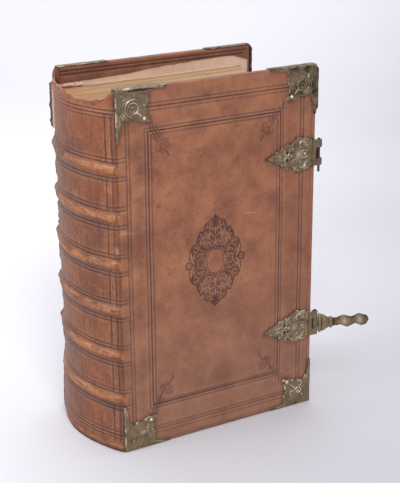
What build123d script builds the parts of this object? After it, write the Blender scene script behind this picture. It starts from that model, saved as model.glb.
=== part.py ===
from build123d import *
from math import asin, cos, degrees, radians, sin, sqrt
import os

os.makedirs("parts", exist_ok=True)

# An antique folio: a sewn text block between two leather-covered wooden boards, with brass corners
# and the remains of two fore-edge clasps. Millimetres. It stands on its tail, +Z is the head,
# +X runs from the spine to the fore-edge and the front cover faces -Y.

# ---------------------------------------------------------------- driving sizes
total_height = 360.0  # tail brass to head brass
book_thickness = 128.0  # outer leather face to outer leather face
cover_width = 218.5  # joint to fore-edge, over the leather
board_thickness = 6.0
leather_thickness = 1.0  # on the boards
turn_in_thickness = 0.8
turn_in_width = 20.0
paper_lining = 0.4  # pastedown sheet over the turn-ins
sheet_tail_margin, sheet_head_margin, sheet_fore_margin = 12.0, 9.8, 3.6  # edges of the pastedown
sheet_slope, sheet_worn_corner = 6.0, 6.0  # its trimmed head edge and worn head corner
running_gap = 0.3  # between a cover and the text block
fit_gap = 0.02  # round shanks and pins that are held
hinge_gap = 0.05  # round the clasp pin in the arm

# Brass
brass = 1.0  # sheet on the outer faces
edge_brass = 0.9  # sheet bent over the board edges
strap_length = 53.0  # along the head and tail edges
side_strap_length = 48.0  # along the joint and the fore-edge
ring_radius, ring_wall, ring_height = 5.6, 1.3, 0.7
ring_u, ring_v = 17.5, 17.5  # from the two board edges
nail_radius, nail_dome, nail_shank_radius, nail_depth = 2.0, 1.3, 0.8, 5.0
nail_point_radius, nail_taper = 0.32, 1.0
tip_nail = (28.8, 28.0)  # from the two board edges
corner_nail = (9.6, 9.2)

# Spine
spine_bulge = 18.0  # how far the rounded back stands out behind the joints
spine_leather = 1.2
spine_end_gap = 1.2  # from the outer faces to the ends of the spine leather
lining_thickness = 0.5
layer_gap = 0.1
band_count = 6
band_first = 57.0  # height of the lowest raised band
head_panel = 73.65  # highest raised band to the head
cord_height, cord_half_width = 3.4, 4.1
cord_end_gap = 1.0  # the cords and the lining end this far inside the block's faces
tail_wear = 0.9  # spine leather ends this far above the floor
# Torn head edge of the spine leather: place across the spine, then depth below the head
head_wear = (
    (-0.06, 3.0),
    (0.03, 4.2),
    (0.10, 9.5),
    (0.18, 12.0),
    (0.30, 13.0),
    (0.40, 12.0),
    (0.50, 9.0),
    (0.62, 7.4),
    (0.80, 7.0),
    (0.94, 4.6),
    (1.06, 2.0),
)

# Text block
block_tail = 8.0
head_square = 20.6  # head of the boards to head of the leaves
fore_square = 12.0  # fore-edge of the boards to the leaves beside them
fore_hollow = 16.0  # depth of the rounded fore-edge
endband_radius = 1.9
tail_band_in = 2.85  # the tail endband's middle, inside the lining
tail_band_end_gap = 4.0  # from the block's faces
loose_band_start, loose_band_length, loose_band_gap = 3.0, 22.0, 0.6  # what is left at the head

# Clasps
clasp_below_head, clasp_above_tail = 87.5, 90.0  # middles of the two clasps
hinge_out = 5.1  # pin axis beyond the fore-edge leather
hinge_in = 0.4  # pin axis behind the outer leather face
knuckle_radius = 3.0
clasp_pin_radius = 1.2
lug_half = 13.6  # half the length of the knuckle
slot_low, slot_high = -6.8, 4.2  # slot for the arm, about the middle of the knuckle
slot_gap = 0.2
slot_wall = 0.6  # web left between the fore-edge and the slot
web_reach, web_rise = 4.0, 1.4  # the knuckle's web, over the plate and above it
pin_below_top = 0.5
pin_drop = 7.4  # the empty clasp's pin has slipped down this far
plate_nails = ((9.5, 8.5), (9.5, -8.5), (41.0, 0.0))
plate_nail_radius = 1.3
plate_hole = (30.0, 5.6, 5.0, 1.9)  # pierced eye: place along, place across, half length, half width

# Clasp arm, swung out from the plane of the cover
arm_swing = 20.0
arm_reach = 58.0
arm_thickness = 3.6
arm_collar_start, arm_collar_end, arm_collar_half = 4.4, 6.6, 10.6
arm_taper_end, arm_taper_half = 15.4, 5.6
arm_ring_end, arm_ring_half = 18.8, 6.1
arm_neck_end, arm_neck_half = 23.5, 4.5
collar_bevel, collar_thickness = 0.6, 4.6
tongue_overlap = 1.0  # the tongue runs this far into the collar

# Catch plates on the back cover
catch_length, catch_half, catch_curve = 24.0, 9.0, 6.0
catch_bar_place, catch_bar_width, catch_bar_height = 6.0, 2.5, 1.3
catch_nails = ((14.0, 5.0), (14.0, -5.0), (20.0, 0.0))

# Joints of the covers
cover_start = 1.5  # boards and leather begin this far from the joint line
fold_in_x, fold_in_y = 0.9, 0.6  # fold line, from the joint line and the outer face

# ---------------------------------------------------------------- worked-out places
swing = radians(arm_swing)
pin_x_from_joint = cover_width + hinge_out
spine_radius = (book_thickness**2 / 4 + spine_bulge**2) / (2 * spine_bulge)
back_radius = spine_radius - spine_leather - layer_gap - lining_thickness
band_rise = cord_height + layer_gap + spine_leather + back_radius - spine_radius
low_x = -spine_bulge - band_rise
high_x = pin_x_from_joint + arm_reach * cos(swing) + arm_thickness / 2 * sin(swing)
low_y = hinge_in - arm_reach * sin(swing) - arm_thickness / 2 * cos(swing)
high_y = book_thickness + brass + nail_dome

# The origin is the middle of the footprint of everything, on the floor
joint_x = -(low_x + high_x) / 2
front_y = -(low_y + high_y) / 2
back_y = front_y + book_thickness
middle_y = (front_y + back_y) / 2
fore_x = joint_x + cover_width
leather_tail = edge_brass
leather_head = total_height - edge_brass
cover_x = joint_x + cover_start
skin_depth = leather_thickness + board_thickness + turn_in_thickness
inner_depth = skin_depth + paper_lining  # the bent brass reaches over the edge to the same depth
block_half = book_thickness / 2 - inner_depth - running_gap
block_head = total_height - head_square
spine_centre = (joint_x - spine_bulge + spine_radius, middle_y, 0)
band_pitch = (total_height - head_panel - band_first) / (band_count - 1)
band_heights = [band_first + band_pitch * i for i in range(band_count)]
clasp_heights = {"upper": total_height - clasp_below_head, "lower": clasp_above_tail}
pin_x = joint_x + pin_x_from_joint
pin_y = front_y + hinge_in
CORNER = (Align.MIN, Align.MIN, Align.MIN)

# side name: outer face, direction into the book
covers = {"front": (front_y, 1), "back": (back_y, -1)}
# corner name: board edge, direction away from it, for the two directions
columns = {"spine": (cover_x, 1), "fore": (fore_x, -1)}
rows = {"tail": (leather_tail, 1), "head": (leather_head, -1)}


def slab(face, inward, start, end):
    """Lowest y of a layer between two depths below an outer face."""
    return min(face + inward * start, face + inward * end)


def corner_spots(place):
    """A place given from the two board edges, at the four corners of a cover."""
    return [
        (edge_x + way_x * place[0], edge_z + way_z * place[1])
        for edge_x, way_x in columns.values()
        for edge_z, way_z in rows.values()
    ]


def clasp_spots(places):
    """Places given from the fore-edge and the clasp's middle, for both clasps."""
    return [(fore_x - u, height + v) for height in clasp_heights.values() for u, v in places]


def outward(face):
    """Sketching plane on an outer face, seen from the front: local x is X, local y is Z."""
    return Plane.XZ.offset(-face)


def drill(face, inward, spots, radius, start, end):
    """Round holes through the layer between two depths below an outer face."""
    middle = face + inward * (start + end) / 2
    with Locations(*[(x, middle, z) for x, z in spots]):
        Cylinder(radius, end - start, rotation=(90, 0, 0), mode=Mode.SUBTRACT)


board_nails = {
    "front": corner_spots(tip_nail) + corner_spots(corner_nail) + clasp_spots(plate_nails),
    "back": corner_spots(tip_nail) + corner_spots(corner_nail) + clasp_spots(catch_nails),
}

# ---------------------------------------------------------------- boards, leather and pastedowns
for side, (face, inward) in covers.items():
    board_y = slab(face, inward, leather_thickness, leather_thickness + board_thickness)
    board_width = cover_width - cover_start - leather_thickness
    board_height = leather_head - leather_tail - 2 * leather_thickness
    shank = nail_shank_radius + fit_gap

    with BuildPart() as board:
        with Locations((cover_x, board_y, leather_tail + leather_thickness)):
            Box(board_width, board_thickness, board_height, align=CORNER)
        drill(face, inward, board_nails[side], shank, leather_thickness, nail_depth)
    board.part.label = side + "_board"
    export_step(board.part, "parts/" + side + "_board.step")

    skin_y = slab(face, inward, 0, skin_depth)
    window_y = slab(face, inward, leather_thickness + board_thickness, skin_depth)
    window_width = cover_width - cover_start - turn_in_width
    window_height = leather_head - leather_tail - 2 * turn_in_width
    with BuildPart() as leather:
        with Locations((cover_x, skin_y, leather_tail)):
            Box(cover_width - cover_start, skin_depth, leather_head - leather_tail, align=CORNER)
        with Locations((cover_x, board_y, leather_tail + leather_thickness)):
            Box(board_width, board_thickness, board_height, align=CORNER, mode=Mode.SUBTRACT)
        with Locations((cover_x, window_y, leather_tail + turn_in_width)):
            Box(window_width, turn_in_thickness, window_height, align=CORNER, mode=Mode.SUBTRACT)
        drill(face, inward, board_nails[side], shank, 0, leather_thickness)
    leather.part.label = side + "_leather"
    export_step(leather.part, "parts/" + side + "_leather.step")

    # The pastedown fills the turn-ins' window and laps over them; its head corner is worn off
    sheet_tail, sheet_head = sheet_tail_margin, total_height - sheet_head_margin
    sheet_fore = fore_x - sheet_fore_margin
    with BuildPart() as pastedown:
        with BuildSketch(outward(face + inward * skin_depth)):
            with BuildLine():
                Polyline(
                    (cover_x, sheet_tail),
                    (sheet_fore, sheet_tail),
                    (sheet_fore, sheet_head - sheet_worn_corner),
                    (sheet_fore - 3 * sheet_worn_corner, sheet_head),
                    (cover_x, sheet_head - sheet_slope),
                    close=True,
                )
            make_face()
        extrude(amount=-inward * paper_lining)
        with Locations((cover_x, window_y, leather_tail + turn_in_width)):
            Box(window_width, turn_in_thickness, window_height, align=CORNER)
    pastedown.part.label = side + "_pastedown"
    export_step(pastedown.part, "parts/" + side + "_pastedown.step")

# ---------------------------------------------------------------- brass cornerpieces
for side, (face, inward) in covers.items():
    for column, (edge_x, way_x) in columns.items():
        for row, (edge_z, way_z) in rows.items():
            # Beyond the leather the sheet covers its own bend at the head, tail and fore-edge
            over_u = edge_brass if column == "fore" else 0.0
            over_v = edge_brass

            def at(u, v):
                """Place from the two board edges, in the sketch's own axes."""
                return (edge_x + way_x * u, edge_z + way_z * v)

            name = side + "_" + row + "_" + column + "_corner"
            with BuildPart() as cornerpiece:
                with BuildSketch(outward(face)):
                    with BuildLine():
                        Polyline(
                            at(2.6, side_strap_length),
                            at(-over_u, side_strap_length),
                            at(-over_u, -over_v),
                            at(strap_length, -over_v),
                            at(strap_length - 4, 2.4),
                            at(32, 5.8),
                        )
                        ThreePointArc(at(32, 5.8), at(34.2, 12), at(31.5, 18))
                        ThreePointArc(at(31.5, 18), at(31.6, 25), at(34.3, 32))
                        ThreePointArc(at(34.3, 32), at(27, 31.6), at(20, 29.4))
                        ThreePointArc(at(20, 29.4), at(14.5, 29.2), at(9.5, 26))
                        Polyline(at(9.5, 26), at(6.6, 31), at(5, 40), at(2.6, side_strap_length))
                    make_face()
                extrude(amount=inward * brass)
                with BuildSketch(outward(face - inward * brass)):
                    with Locations(at(ring_u, ring_v)):
                        Circle(ring_radius)
                        Circle(ring_radius - ring_wall, mode=Mode.SUBTRACT)
                extrude(amount=inward * ring_height)
                lap_y = slab(face, inward, -brass, inner_depth)
                lap_x = min(at(-over_u, 0)[0], at(strap_length, 0)[0])
                lap_z = min(at(0, -over_v)[1], at(0, 0)[1])
                with Locations((lap_x, lap_y, lap_z)):
                    Box(strap_length + over_u, inner_depth + brass, edge_brass, align=CORNER)
                if column == "fore":
                    lap_z = min(at(0, 0)[1], at(0, side_strap_length)[1])
                    with Locations((fore_x, lap_y, lap_z)):
                        Box(edge_brass, inner_depth + brass, side_strap_length, align=CORNER)
                shank = nail_shank_radius + fit_gap
                drill(face, inward, [at(*tip_nail), at(*corner_nail)], shank, -brass, 0)
            cornerpiece.part.label = name
            export_step(cornerpiece.part, "parts/" + name + ".step")

# ---------------------------------------------------------------- domed nails
nail_sets = {
    "front_corner_nails": ("front", corner_spots(tip_nail) + corner_spots(corner_nail), nail_radius),
    "back_corner_nails": ("back", corner_spots(tip_nail) + corner_spots(corner_nail), nail_radius),
    "clasp_plate_nails": ("front", clasp_spots(plate_nails), plate_nail_radius),
    "catch_plate_nails": ("back", clasp_spots(catch_nails), plate_nail_radius),
}
for name, (side, spots, head_radius) in nail_sets.items():
    face, inward = covers[side]
    dome = nail_dome * head_radius / nail_radius
    # The dome is part of a ball centred on the nail's own axis
    ball = (head_radius**2 + dome**2) / (2 * dome)
    halfway = asin(head_radius / ball) / 2
    # One nail on the Y axis, from its point to its dome, then a copy at each spot
    with BuildPart() as nail:
        with BuildSketch(Plane.XY):
            with BuildLine():
                Polyline(
                    (0, -inward * dome),
                    (0, inward * nail_depth),
                    (nail_point_radius, inward * nail_depth),
                    (nail_shank_radius, inward * (nail_depth - nail_taper)),
                    (nail_shank_radius, 0),
                    (head_radius, 0),
                )
                ThreePointArc(
                    (head_radius, 0),
                    (ball * sin(halfway), -inward * (ball * cos(halfway) - ball + dome)),
                    (0, -inward * dome),
                )
            make_face()
        revolve(axis=Axis.Y)
    with BuildPart() as nails:
        with Locations(*[(x, face - inward * brass, z) for x, z in spots]):
            add(nail.part)
    nails.part.label = name
    export_step(nails.part, "parts/" + name + ".step")

# ---------------------------------------------------------------- clasp plates and their pins
plate_half = (
    (0.0, 13.2),
    (7.0, 14.2),
    (9.5, 16.4),
    (18.0, 17.5),
    (29.0, 13.2),
    (30.5, 10.2),
    (34.0, 12.0),
    (36.5, 8.0),
    (42.0, 8.8),
    (44.5, 5.2),
    (49.5, 5.2),
    (52.0, 2.4),
)
plate_tip = 57.5
for name, height in clasp_heights.items():
    with BuildPart() as plate:
        with BuildSketch(outward(front_y)):
            with BuildLine():
                upper = [(fore_x - u, height + v) for u, v in plate_half]
                lower = [(fore_x - u, height - v) for u, v in reversed(plate_half)]
                Polyline(*upper[:3])
                ThreePointArc(upper[2], upper[3], upper[4])
                Polyline(*upper[4:], (fore_x - plate_tip, height), *lower[:8])
                ThreePointArc(lower[7], lower[8], lower[9])
                Polyline(*lower[9:], upper[0])
            make_face()
            eye_u, eye_v, eye_long, eye_wide = plate_hole
            with Locations((fore_x - eye_u, height + eye_v), (fore_x - eye_u, height - eye_v)):
                Ellipse(eye_long, eye_wide, mode=Mode.SUBTRACT)
        extrude(amount=brass)
        # Knuckle: a web from the plate to a barrel round the pin
        web_thickness = brass + web_rise
        with Locations((fore_x - web_reach, front_y - web_thickness, height - lug_half)):
            Box(hinge_out + web_reach, web_thickness, 2 * lug_half, align=CORNER)
        with BuildSketch(Plane.XY.offset(height - lug_half)):
            with Locations((pin_x, pin_y)):
                Circle(knuckle_radius)
        extrude(amount=2 * lug_half)
        with Locations((fore_x + slot_wall, front_y - 2 * knuckle_radius, height + slot_low)):
            Box(4 * knuckle_radius, 4 * knuckle_radius, slot_high - slot_low, align=CORNER,
                mode=Mode.SUBTRACT)
        with BuildSketch(Plane.XY.offset(height - lug_half)):
            with Locations((pin_x, pin_y)):
                Circle(clasp_pin_radius + fit_gap)
        extrude(amount=2 * lug_half, mode=Mode.SUBTRACT)
        spots = [(fore_x - u, height + v) for u, v in plate_nails]
        drill(front_y, 1, spots, nail_shank_radius + fit_gap, -brass, 0)
    plate.part.label = name + "_clasp_plate"
    export_step(plate.part, "parts/" + name + "_clasp_plate.step")

    drop = pin_drop if name == "upper" else 0.0
    with BuildPart() as pin:
        with BuildSketch(Plane.XY.offset(height - lug_half - drop)):
            with Locations((pin_x, pin_y)):
                Circle(clasp_pin_radius)
        extrude(amount=2 * lug_half + drop - pin_below_top)
    pin.part.label = name + "_clasp_pin"
    export_step(pin.part, "parts/" + name + "_clasp_pin.step")

# ---------------------------------------------------------------- lower clasp arm
# Drawn along its own length from the pin, then swung out from the cover's plane
arm_height = clasp_heights["lower"]
arm_plane = Plane(origin=(pin_x, pin_y, arm_height), x_dir=(cos(swing), -sin(swing), 0),
                  z_dir=(-sin(swing), -cos(swing), 0))
arm_top = ((23.5, 4.4), (31.4, 6.4), (39.4, 4.6), (47.8, 6.9), (54.4, 4.9), (57.0, 4.6))
arm_bottom = ((57.0, -4.2), (50.6, -6.2), (43.6, -4.0), (35.0, -6.6), (28.4, -4.6), (23.5, -4.4))
with BuildPart() as arm:
    with BuildSketch(arm_plane):
        with BuildLine():
            Spline(*arm_top)
            Polyline(arm_top[-1], (arm_reach, 2.6), (arm_reach, -2.4), arm_bottom[0])
            Spline(*arm_bottom)
            Polyline(arm_bottom[-1], arm_top[0])
        make_face()
    extrude(amount=arm_thickness / 2, both=True)
    with BuildSketch(arm_plane):
        with BuildLine():
            Polyline(
                (arm_collar_start, arm_collar_half - collar_bevel),
                (arm_collar_end, arm_collar_half),
                (arm_taper_end, arm_taper_half),
                (arm_ring_end, arm_ring_half),
                (arm_neck_end, arm_neck_half),
                (arm_neck_end, -arm_neck_half),
                (arm_ring_end, -arm_ring_half),
                (arm_taper_end, -arm_taper_half),
                (arm_collar_end, -arm_collar_half),
                (arm_collar_start, -arm_collar_half + collar_bevel),
                close=True,
            )
        make_face()
    extrude(amount=collar_thickness / 2, both=True)
    # Tongue and barrel in the slot of the knuckle
    barrel_low = slot_low + slot_gap
    barrel_high = slot_high - slot_gap
    tongue_end = arm_collar_start + tongue_overlap
    with BuildSketch(arm_plane):
        with BuildLine():
            Polyline(
                (0, barrel_low),
                (tongue_end, barrel_low),
                (tongue_end, barrel_high),
                (0, barrel_high),
                close=True,
            )
        make_face()
    extrude(amount=arm_thickness / 2, both=True)
    with BuildSketch(Plane.XY.offset(arm_height + barrel_low)):
        with Locations((pin_x, pin_y)):
            Circle(knuckle_radius)
    extrude(amount=barrel_high - barrel_low)
    with BuildSketch(Plane.XY.offset(arm_height + barrel_low)):
        with Locations((pin_x, pin_y)):
            Circle(clasp_pin_radius + hinge_gap)
    extrude(amount=barrel_high - barrel_low, mode=Mode.SUBTRACT)
arm.part.label = "lower_clasp_arm"
export_step(arm.part, "parts/lower_clasp_arm.step")

# ---------------------------------------------------------------- catch plates on the back cover
curve_x = fore_x - catch_length + catch_curve
for name, height in clasp_heights.items():
    with BuildPart() as catch:
        with BuildSketch(outward(back_y)):
            with BuildLine():
                Polyline(
                    (curve_x, height - catch_half),
                    (fore_x + edge_brass, height - catch_half),
                    (fore_x + edge_brass, height + catch_half),
                    (curve_x, height + catch_half),
                )
                ThreePointArc(
                    (curve_x, height + catch_half),
                    (fore_x - catch_length, height),
                    (curve_x, height - catch_half),
                )
            make_face()
        extrude(amount=-brass)
        with Locations((fore_x, back_y - inner_depth, height - catch_half)):
            Box(edge_brass, inner_depth + brass, 2 * catch_half, align=CORNER)
        with Locations((fore_x - catch_bar_place, back_y + brass, height - catch_half)):
            Box(catch_bar_width, catch_bar_height, 2 * catch_half, align=CORNER)
        spots = [(fore_x - u, height + v) for u, v in catch_nails]
        drill(back_y, -1, spots, nail_shank_radius + fit_gap, -brass, 0)
    catch.part.label = name + "_catch_plate"
    export_step(catch.part, "parts/" + name + "_catch_plate.step")

# ---------------------------------------------------------------- text block
with BuildPart() as block:
    with BuildSketch(Plane.XY.offset(block_tail)):
        with BuildLine():
            shoulder_x = spine_centre[0] - sqrt(back_radius**2 - block_half**2)
            leaf_x = fore_x - fore_square
            low, high = middle_y - block_half, middle_y + block_half
            ThreePointArc((shoulder_x, low), (spine_centre[0] - back_radius, middle_y), (shoulder_x, high))
            Line((shoulder_x, high), (leaf_x, high))
            ThreePointArc((leaf_x, high), (leaf_x - fore_hollow, middle_y), (leaf_x, low))
            Line((leaf_x, low), (shoulder_x, low))
        make_face()
    extrude(amount=block_head - block_tail)
block.part.label = "text_block"
export_step(block.part, "parts/text_block.step")


# ---------------------------------------------------------------- spine: cords, lining, leather
def spine_section(half_angle):
    """Upright plane through the spine's centre, at the front end of its arc: local x is radius."""
    across, along = cos(radians(half_angle)), sin(radians(half_angle))
    return Plane(origin=spine_centre, x_dir=(-across, -along, 0), z_dir=(-along, across, 0))


spine_axis = Axis(spine_centre, (0, 0, -1))
cord_angle = degrees(asin((block_half - cord_end_gap) / spine_radius))
leather_angle = degrees(asin((book_thickness / 2 - spine_end_gap) / spine_radius))

for number, height in enumerate(band_heights, start=1):
    with BuildPart() as cord:
        with BuildSketch(spine_section(cord_angle)):
            with Locations((back_radius, height)):
                Ellipse(cord_height, cord_half_width)
            with Locations((back_radius - cord_height, height)):
                Rectangle(2 * cord_height, 3 * cord_half_width, mode=Mode.SUBTRACT)
        revolve(axis=spine_axis, revolution_arc=2 * cord_angle)
    cord.part.label = "sewing_cord_" + str(number)
    export_step(cord.part, "parts/sewing_cord_" + str(number) + ".step")

with BuildPart() as lining:
    edges = [block_tail]
    for height in band_heights:
        edges += [height - cord_half_width - layer_gap, height + cord_half_width + layer_gap]
    edges.append(block_head)
    with BuildSketch(spine_section(cord_angle)):
        for bottom, top in zip(edges[::2], edges[1::2]):
            with Locations((back_radius + lining_thickness / 2, (bottom + top) / 2)):
                Rectangle(lining_thickness, top - bottom)
    revolve(axis=spine_axis, revolution_arc=2 * cord_angle)
lining.part.label = "spine_lining"
export_step(lining.part, "parts/spine_lining.step")

with BuildPart() as spine:
    inner_radius = spine_radius - spine_leather
    with BuildSketch(spine_section(leather_angle)):
        with Locations((spine_radius - spine_leather / 2, (leather_head + tail_wear) / 2)):
            Rectangle(spine_leather, leather_head - tail_wear)
        with Locations(*[(back_radius, height) for height in band_heights]):
            Ellipse(cord_height + layer_gap + spine_leather, cord_half_width + spine_leather + layer_gap)
            Ellipse(cord_height + layer_gap, cord_half_width + layer_gap, mode=Mode.SUBTRACT)
        with Locations((inner_radius - cord_height, total_height / 2)):
            Rectangle(2 * cord_height, 2 * total_height, mode=Mode.SUBTRACT)
    revolve(axis=spine_axis, revolution_arc=2 * leather_angle)
    tear = [(front_y + place * book_thickness, total_height - depth) for place, depth in head_wear]
    with BuildSketch(Plane.YZ.offset(joint_x - 2 * spine_bulge)):
        with BuildLine():
            Spline(*tear)
            Polyline(tear[-1], (tear[-1][0], total_height + 5), (tear[0][0], total_height + 5), tear[0])
        make_face()
    extrude(amount=3 * spine_bulge, mode=Mode.SUBTRACT)
spine.part.label = "spine_leather"
export_step(spine.part, "parts/spine_leather.step")

# ---------------------------------------------------------------- endbands
# Only a loose end of the head band is left, lying on the leaves beside the back board
with BuildPart() as head_endband:
    loose_y = middle_y + block_half - endband_radius - loose_band_gap
    with BuildSketch(Plane.YZ.offset(joint_x + loose_band_start)):
        with Locations((loose_y, block_head + endband_radius)):
            Circle(endband_radius)
    extrude(amount=loose_band_length)
head_endband.part.label = "head_endband"
export_step(head_endband.part, "parts/head_endband.step")

endband_angle = degrees(asin((block_half - tail_band_end_gap) / spine_radius))
with BuildPart() as tail_endband:
    with BuildSketch(spine_section(endband_angle)):
        with Locations((back_radius - tail_band_in, block_tail - endband_radius)):
            Circle(endband_radius)
    revolve(axis=spine_axis, revolution_arc=2 * endband_angle)
tail_endband.part.label = "tail_endband"
export_step(tail_endband.part, "parts/tail_endband.step")
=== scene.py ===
"""An antique leather folio: tooled leather, brass furniture, sewn leaves, and the stage it stands on."""

import bmesh
import bpy
import math
import numpy as np
from mathutils import Matrix, Vector
from mathutils.geometry import delaunay_2d_cdt


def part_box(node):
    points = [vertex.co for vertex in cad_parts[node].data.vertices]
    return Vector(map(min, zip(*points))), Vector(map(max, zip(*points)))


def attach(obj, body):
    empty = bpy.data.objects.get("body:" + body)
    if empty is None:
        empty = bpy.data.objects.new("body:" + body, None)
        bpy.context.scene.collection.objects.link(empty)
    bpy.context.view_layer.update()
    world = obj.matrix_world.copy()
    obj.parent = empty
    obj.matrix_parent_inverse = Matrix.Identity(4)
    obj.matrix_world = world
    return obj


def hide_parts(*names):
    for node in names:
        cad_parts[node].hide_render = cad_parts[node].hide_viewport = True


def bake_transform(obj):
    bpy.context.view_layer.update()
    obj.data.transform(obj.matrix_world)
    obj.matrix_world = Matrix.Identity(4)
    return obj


bl_info = {
    "name": "Leather Folio",
    "version": (1, 0, 0),
    "blender": (4, 5, 0),
    "location": "3D View > Sidebar > Folio",
    "description": "Builds the surfaces of an antique leather-bound book with brass corners and clasps",
    "category": "Object",
}

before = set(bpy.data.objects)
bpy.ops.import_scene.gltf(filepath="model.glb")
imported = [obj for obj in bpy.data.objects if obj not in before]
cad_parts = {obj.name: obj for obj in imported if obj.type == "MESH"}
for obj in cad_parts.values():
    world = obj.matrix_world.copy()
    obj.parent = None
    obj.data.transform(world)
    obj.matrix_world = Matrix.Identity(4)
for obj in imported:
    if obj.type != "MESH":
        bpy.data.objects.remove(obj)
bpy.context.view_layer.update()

MM = 0.001  # the shapes below are worked out in millimetres


def node_box(name):
    """Lowest and highest corner of a CAD node, in millimetres."""
    low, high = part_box(name)
    return np.array(low) / MM, np.array(high) / MM


# ---------------------------------------------------------------- places, from the frame
cover_low, cover_high = node_box("front_leather")
back_high = node_box("back_leather")[1]
board_low, board_high = node_box("front_board")
leaves_low, leaves_high = node_box("text_block")
spine_low = node_box("spine_leather")[0]
pin_low, pin_high = node_box("lower_clasp_pin")
empty_pin_high = node_box("upper_clasp_pin")[1]
strap_high = node_box("front_tail_spine_corner")[1]

COVER_GAP = 1.5  # the boards begin this far from the joint line
joint_x = cover_low[0] - COVER_GAP
fore_x = cover_high[0]
front_y, back_y = cover_low[1], back_high[1]
middle_y = (front_y + back_y) / 2
tail_z, head_z = cover_low[2], cover_high[2]
total_height = node_box("front_head_spine_corner")[1][2]
cover_depth = cover_high[1] - cover_low[1]
thickness = back_y - front_y
width = fore_x - joint_x
strap_length = strap_high[0] - cover_low[0]
side_strap_length = strap_high[2] - tail_z
pin_x = (pin_low[0] + pin_high[0]) / 2
pin_y = (pin_low[1] + pin_high[1]) / 2
LUG_HALF = 13.6  # half the length of a knuckle
PIN_BELOW_TOP = 0.5  # a pin ends this far below the top of its knuckle
clasp_z = {"lower": pin_low[2] + LUG_HALF, "upper": empty_pin_high[2] + PIN_BELOW_TOP - LUG_HALF}

BAND_RISE = 2.9  # of the bands over the cords
spine_bulge = joint_x - spine_low[0] - BAND_RISE
spine_radius = ((thickness / 2) ** 2 + spine_bulge**2) / (2 * spine_bulge)
spine_x = joint_x - spine_bulge + spine_radius
BAND_FIRST, BAND_PITCH, BAND_COUNT = 57.0, 45.87, 6  # heights of the bands
BANDS = [BAND_FIRST + BAND_PITCH * i for i in range(BAND_COUNT)]
BAND_HALF = 6.4  # half the width of a band at its foot
BAND_WIDTH_POWER = 0.72  # below 1 it makes a band fuller than a wave
SPINE_START = 4.0  # the spine's own piece begins this far inside the outer faces
JOINT_END = 3.0  # the joint's piece ends this far on to the cover

# Outer face of each cover and the direction into the book
SIDES = {"front": (front_y, 1.0), "back": (back_y, -1.0)}


# ---------------------------------------------------------------- sizes and colours a user may change
def colour(name, default, description):
    """A colour setting, linear, each part from 0 to 1."""
    return bpy.props.FloatVectorProperty(
        name=name, description=description, default=default, size=3, subtype="COLOR", min=0, max=1)


class LeatherSettings(bpy.types.PropertyGroup):
    """Colours and depths of the leather."""

    light: colour("Light", (0.445, 0.182, 0.09), "Open parts of the covers")
    red: colour("Red", (0.225, 0.082, 0.046), "Darker parts of the covers")
    dark: colour("Dark", (0.047, 0.016, 0.019), "Tooled lines and stamped ground")
    worn: colour("Worn", (0.55, 0.265, 0.11), "Rubbed bands and torn edges")
    spine: colour("Spine", (0.145, 0.04, 0.015), "Panels of the spine")
    line_depth: bpy.props.FloatProperty(
        name="Line depth", description="Depth of the tooled lines, in millimetres",
        default=0.42, min=0, max=1)
    stamp_depth: bpy.props.FloatProperty(
        name="Stamp depth", description="Depth of the stamped ornament, in millimetres",
        default=0.5, min=0, max=1)
    roughness: bpy.props.FloatProperty(
        name="Roughness", description="Roughness of the polished leather", default=0.5, min=0, max=1,
        subtype="FACTOR")


class BrassSettings(bpy.types.PropertyGroup):
    """Colours of the brass."""

    olive: colour("Patina", (0.225, 0.162, 0.096), "Tarnished brass")
    bright: colour("Bright", (0.78, 0.70, 0.52), "Rubbed high places")
    dirt: colour("Dirt", (0.04, 0.027, 0.02), "Hollows")
    roughness: bpy.props.FloatProperty(
        name="Roughness", description="Roughness of the patina",
        default=0.44, min=0, max=1, subtype="FACTOR")


class PaperSettings(bpy.types.PropertyGroup):
    """Colours of the leaves, the pastedowns and the endbands."""

    leaf: colour("Leaves", (0.56, 0.355, 0.205), "Edges of the leaves")
    dust: colour("Dust", (0.24, 0.14, 0.08), "Browned and dusty places")
    sheet: colour("Pastedown", (0.66, 0.46, 0.36), "Paper inside the covers")
    silk: colour("Silk", (0.62, 0.16, 0.17), "Coloured thread of the endbands")


class StudioSettings(bpy.types.PropertyGroup):
    """The stage, its lights and the camera."""

    floor: colour("Floor", (0.92, 0.915, 0.94), "Paper that the book stands on")
    shade: colour("Shade", (0.37, 0.36, 0.41), "The paper's darker side")
    lens: bpy.props.FloatProperty(
        name="Lens", description="Focal length in millimetres", default=93.0, min=10)
    yaw: bpy.props.FloatProperty(
        name="Yaw", description="Camera's turn towards +X", default=math.radians(30.04), subtype="ANGLE")
    pitch: bpy.props.FloatProperty(
        name="Pitch", description="Camera's look down", default=math.radians(19.77), subtype="ANGLE")
    roll: bpy.props.FloatProperty(
        name="Roll", description="Camera's roll", default=math.radians(-0.45), subtype="ANGLE")
    place: bpy.props.FloatVectorProperty(
        name="Camera from joint", description="Camera from the foot of the front joint, in metres",
        default=(-0.4728, -0.9685, 0.6052), size=3, unit="LENGTH", subtype="TRANSLATION")


def settings(name):
    """The scene's settings group of that name."""
    return getattr(bpy.context.scene, "folio_" + name)


# ---------------------------------------------------------------- noise
def hashed(x, y, z, seed):
    """A repeatable value from -1 to 1 for each whole-numbered place."""
    n = (x * 73856093) ^ (y * 19349663) ^ (z * 83492791) ^ (seed * 2654435761)
    n = ((n ^ (n >> 13)) * 1274126177) & 0x7FFFFFFF
    return ((n ^ (n >> 16)) & 0xFFFFFF) / 0x7FFFFF - 1.0


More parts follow.
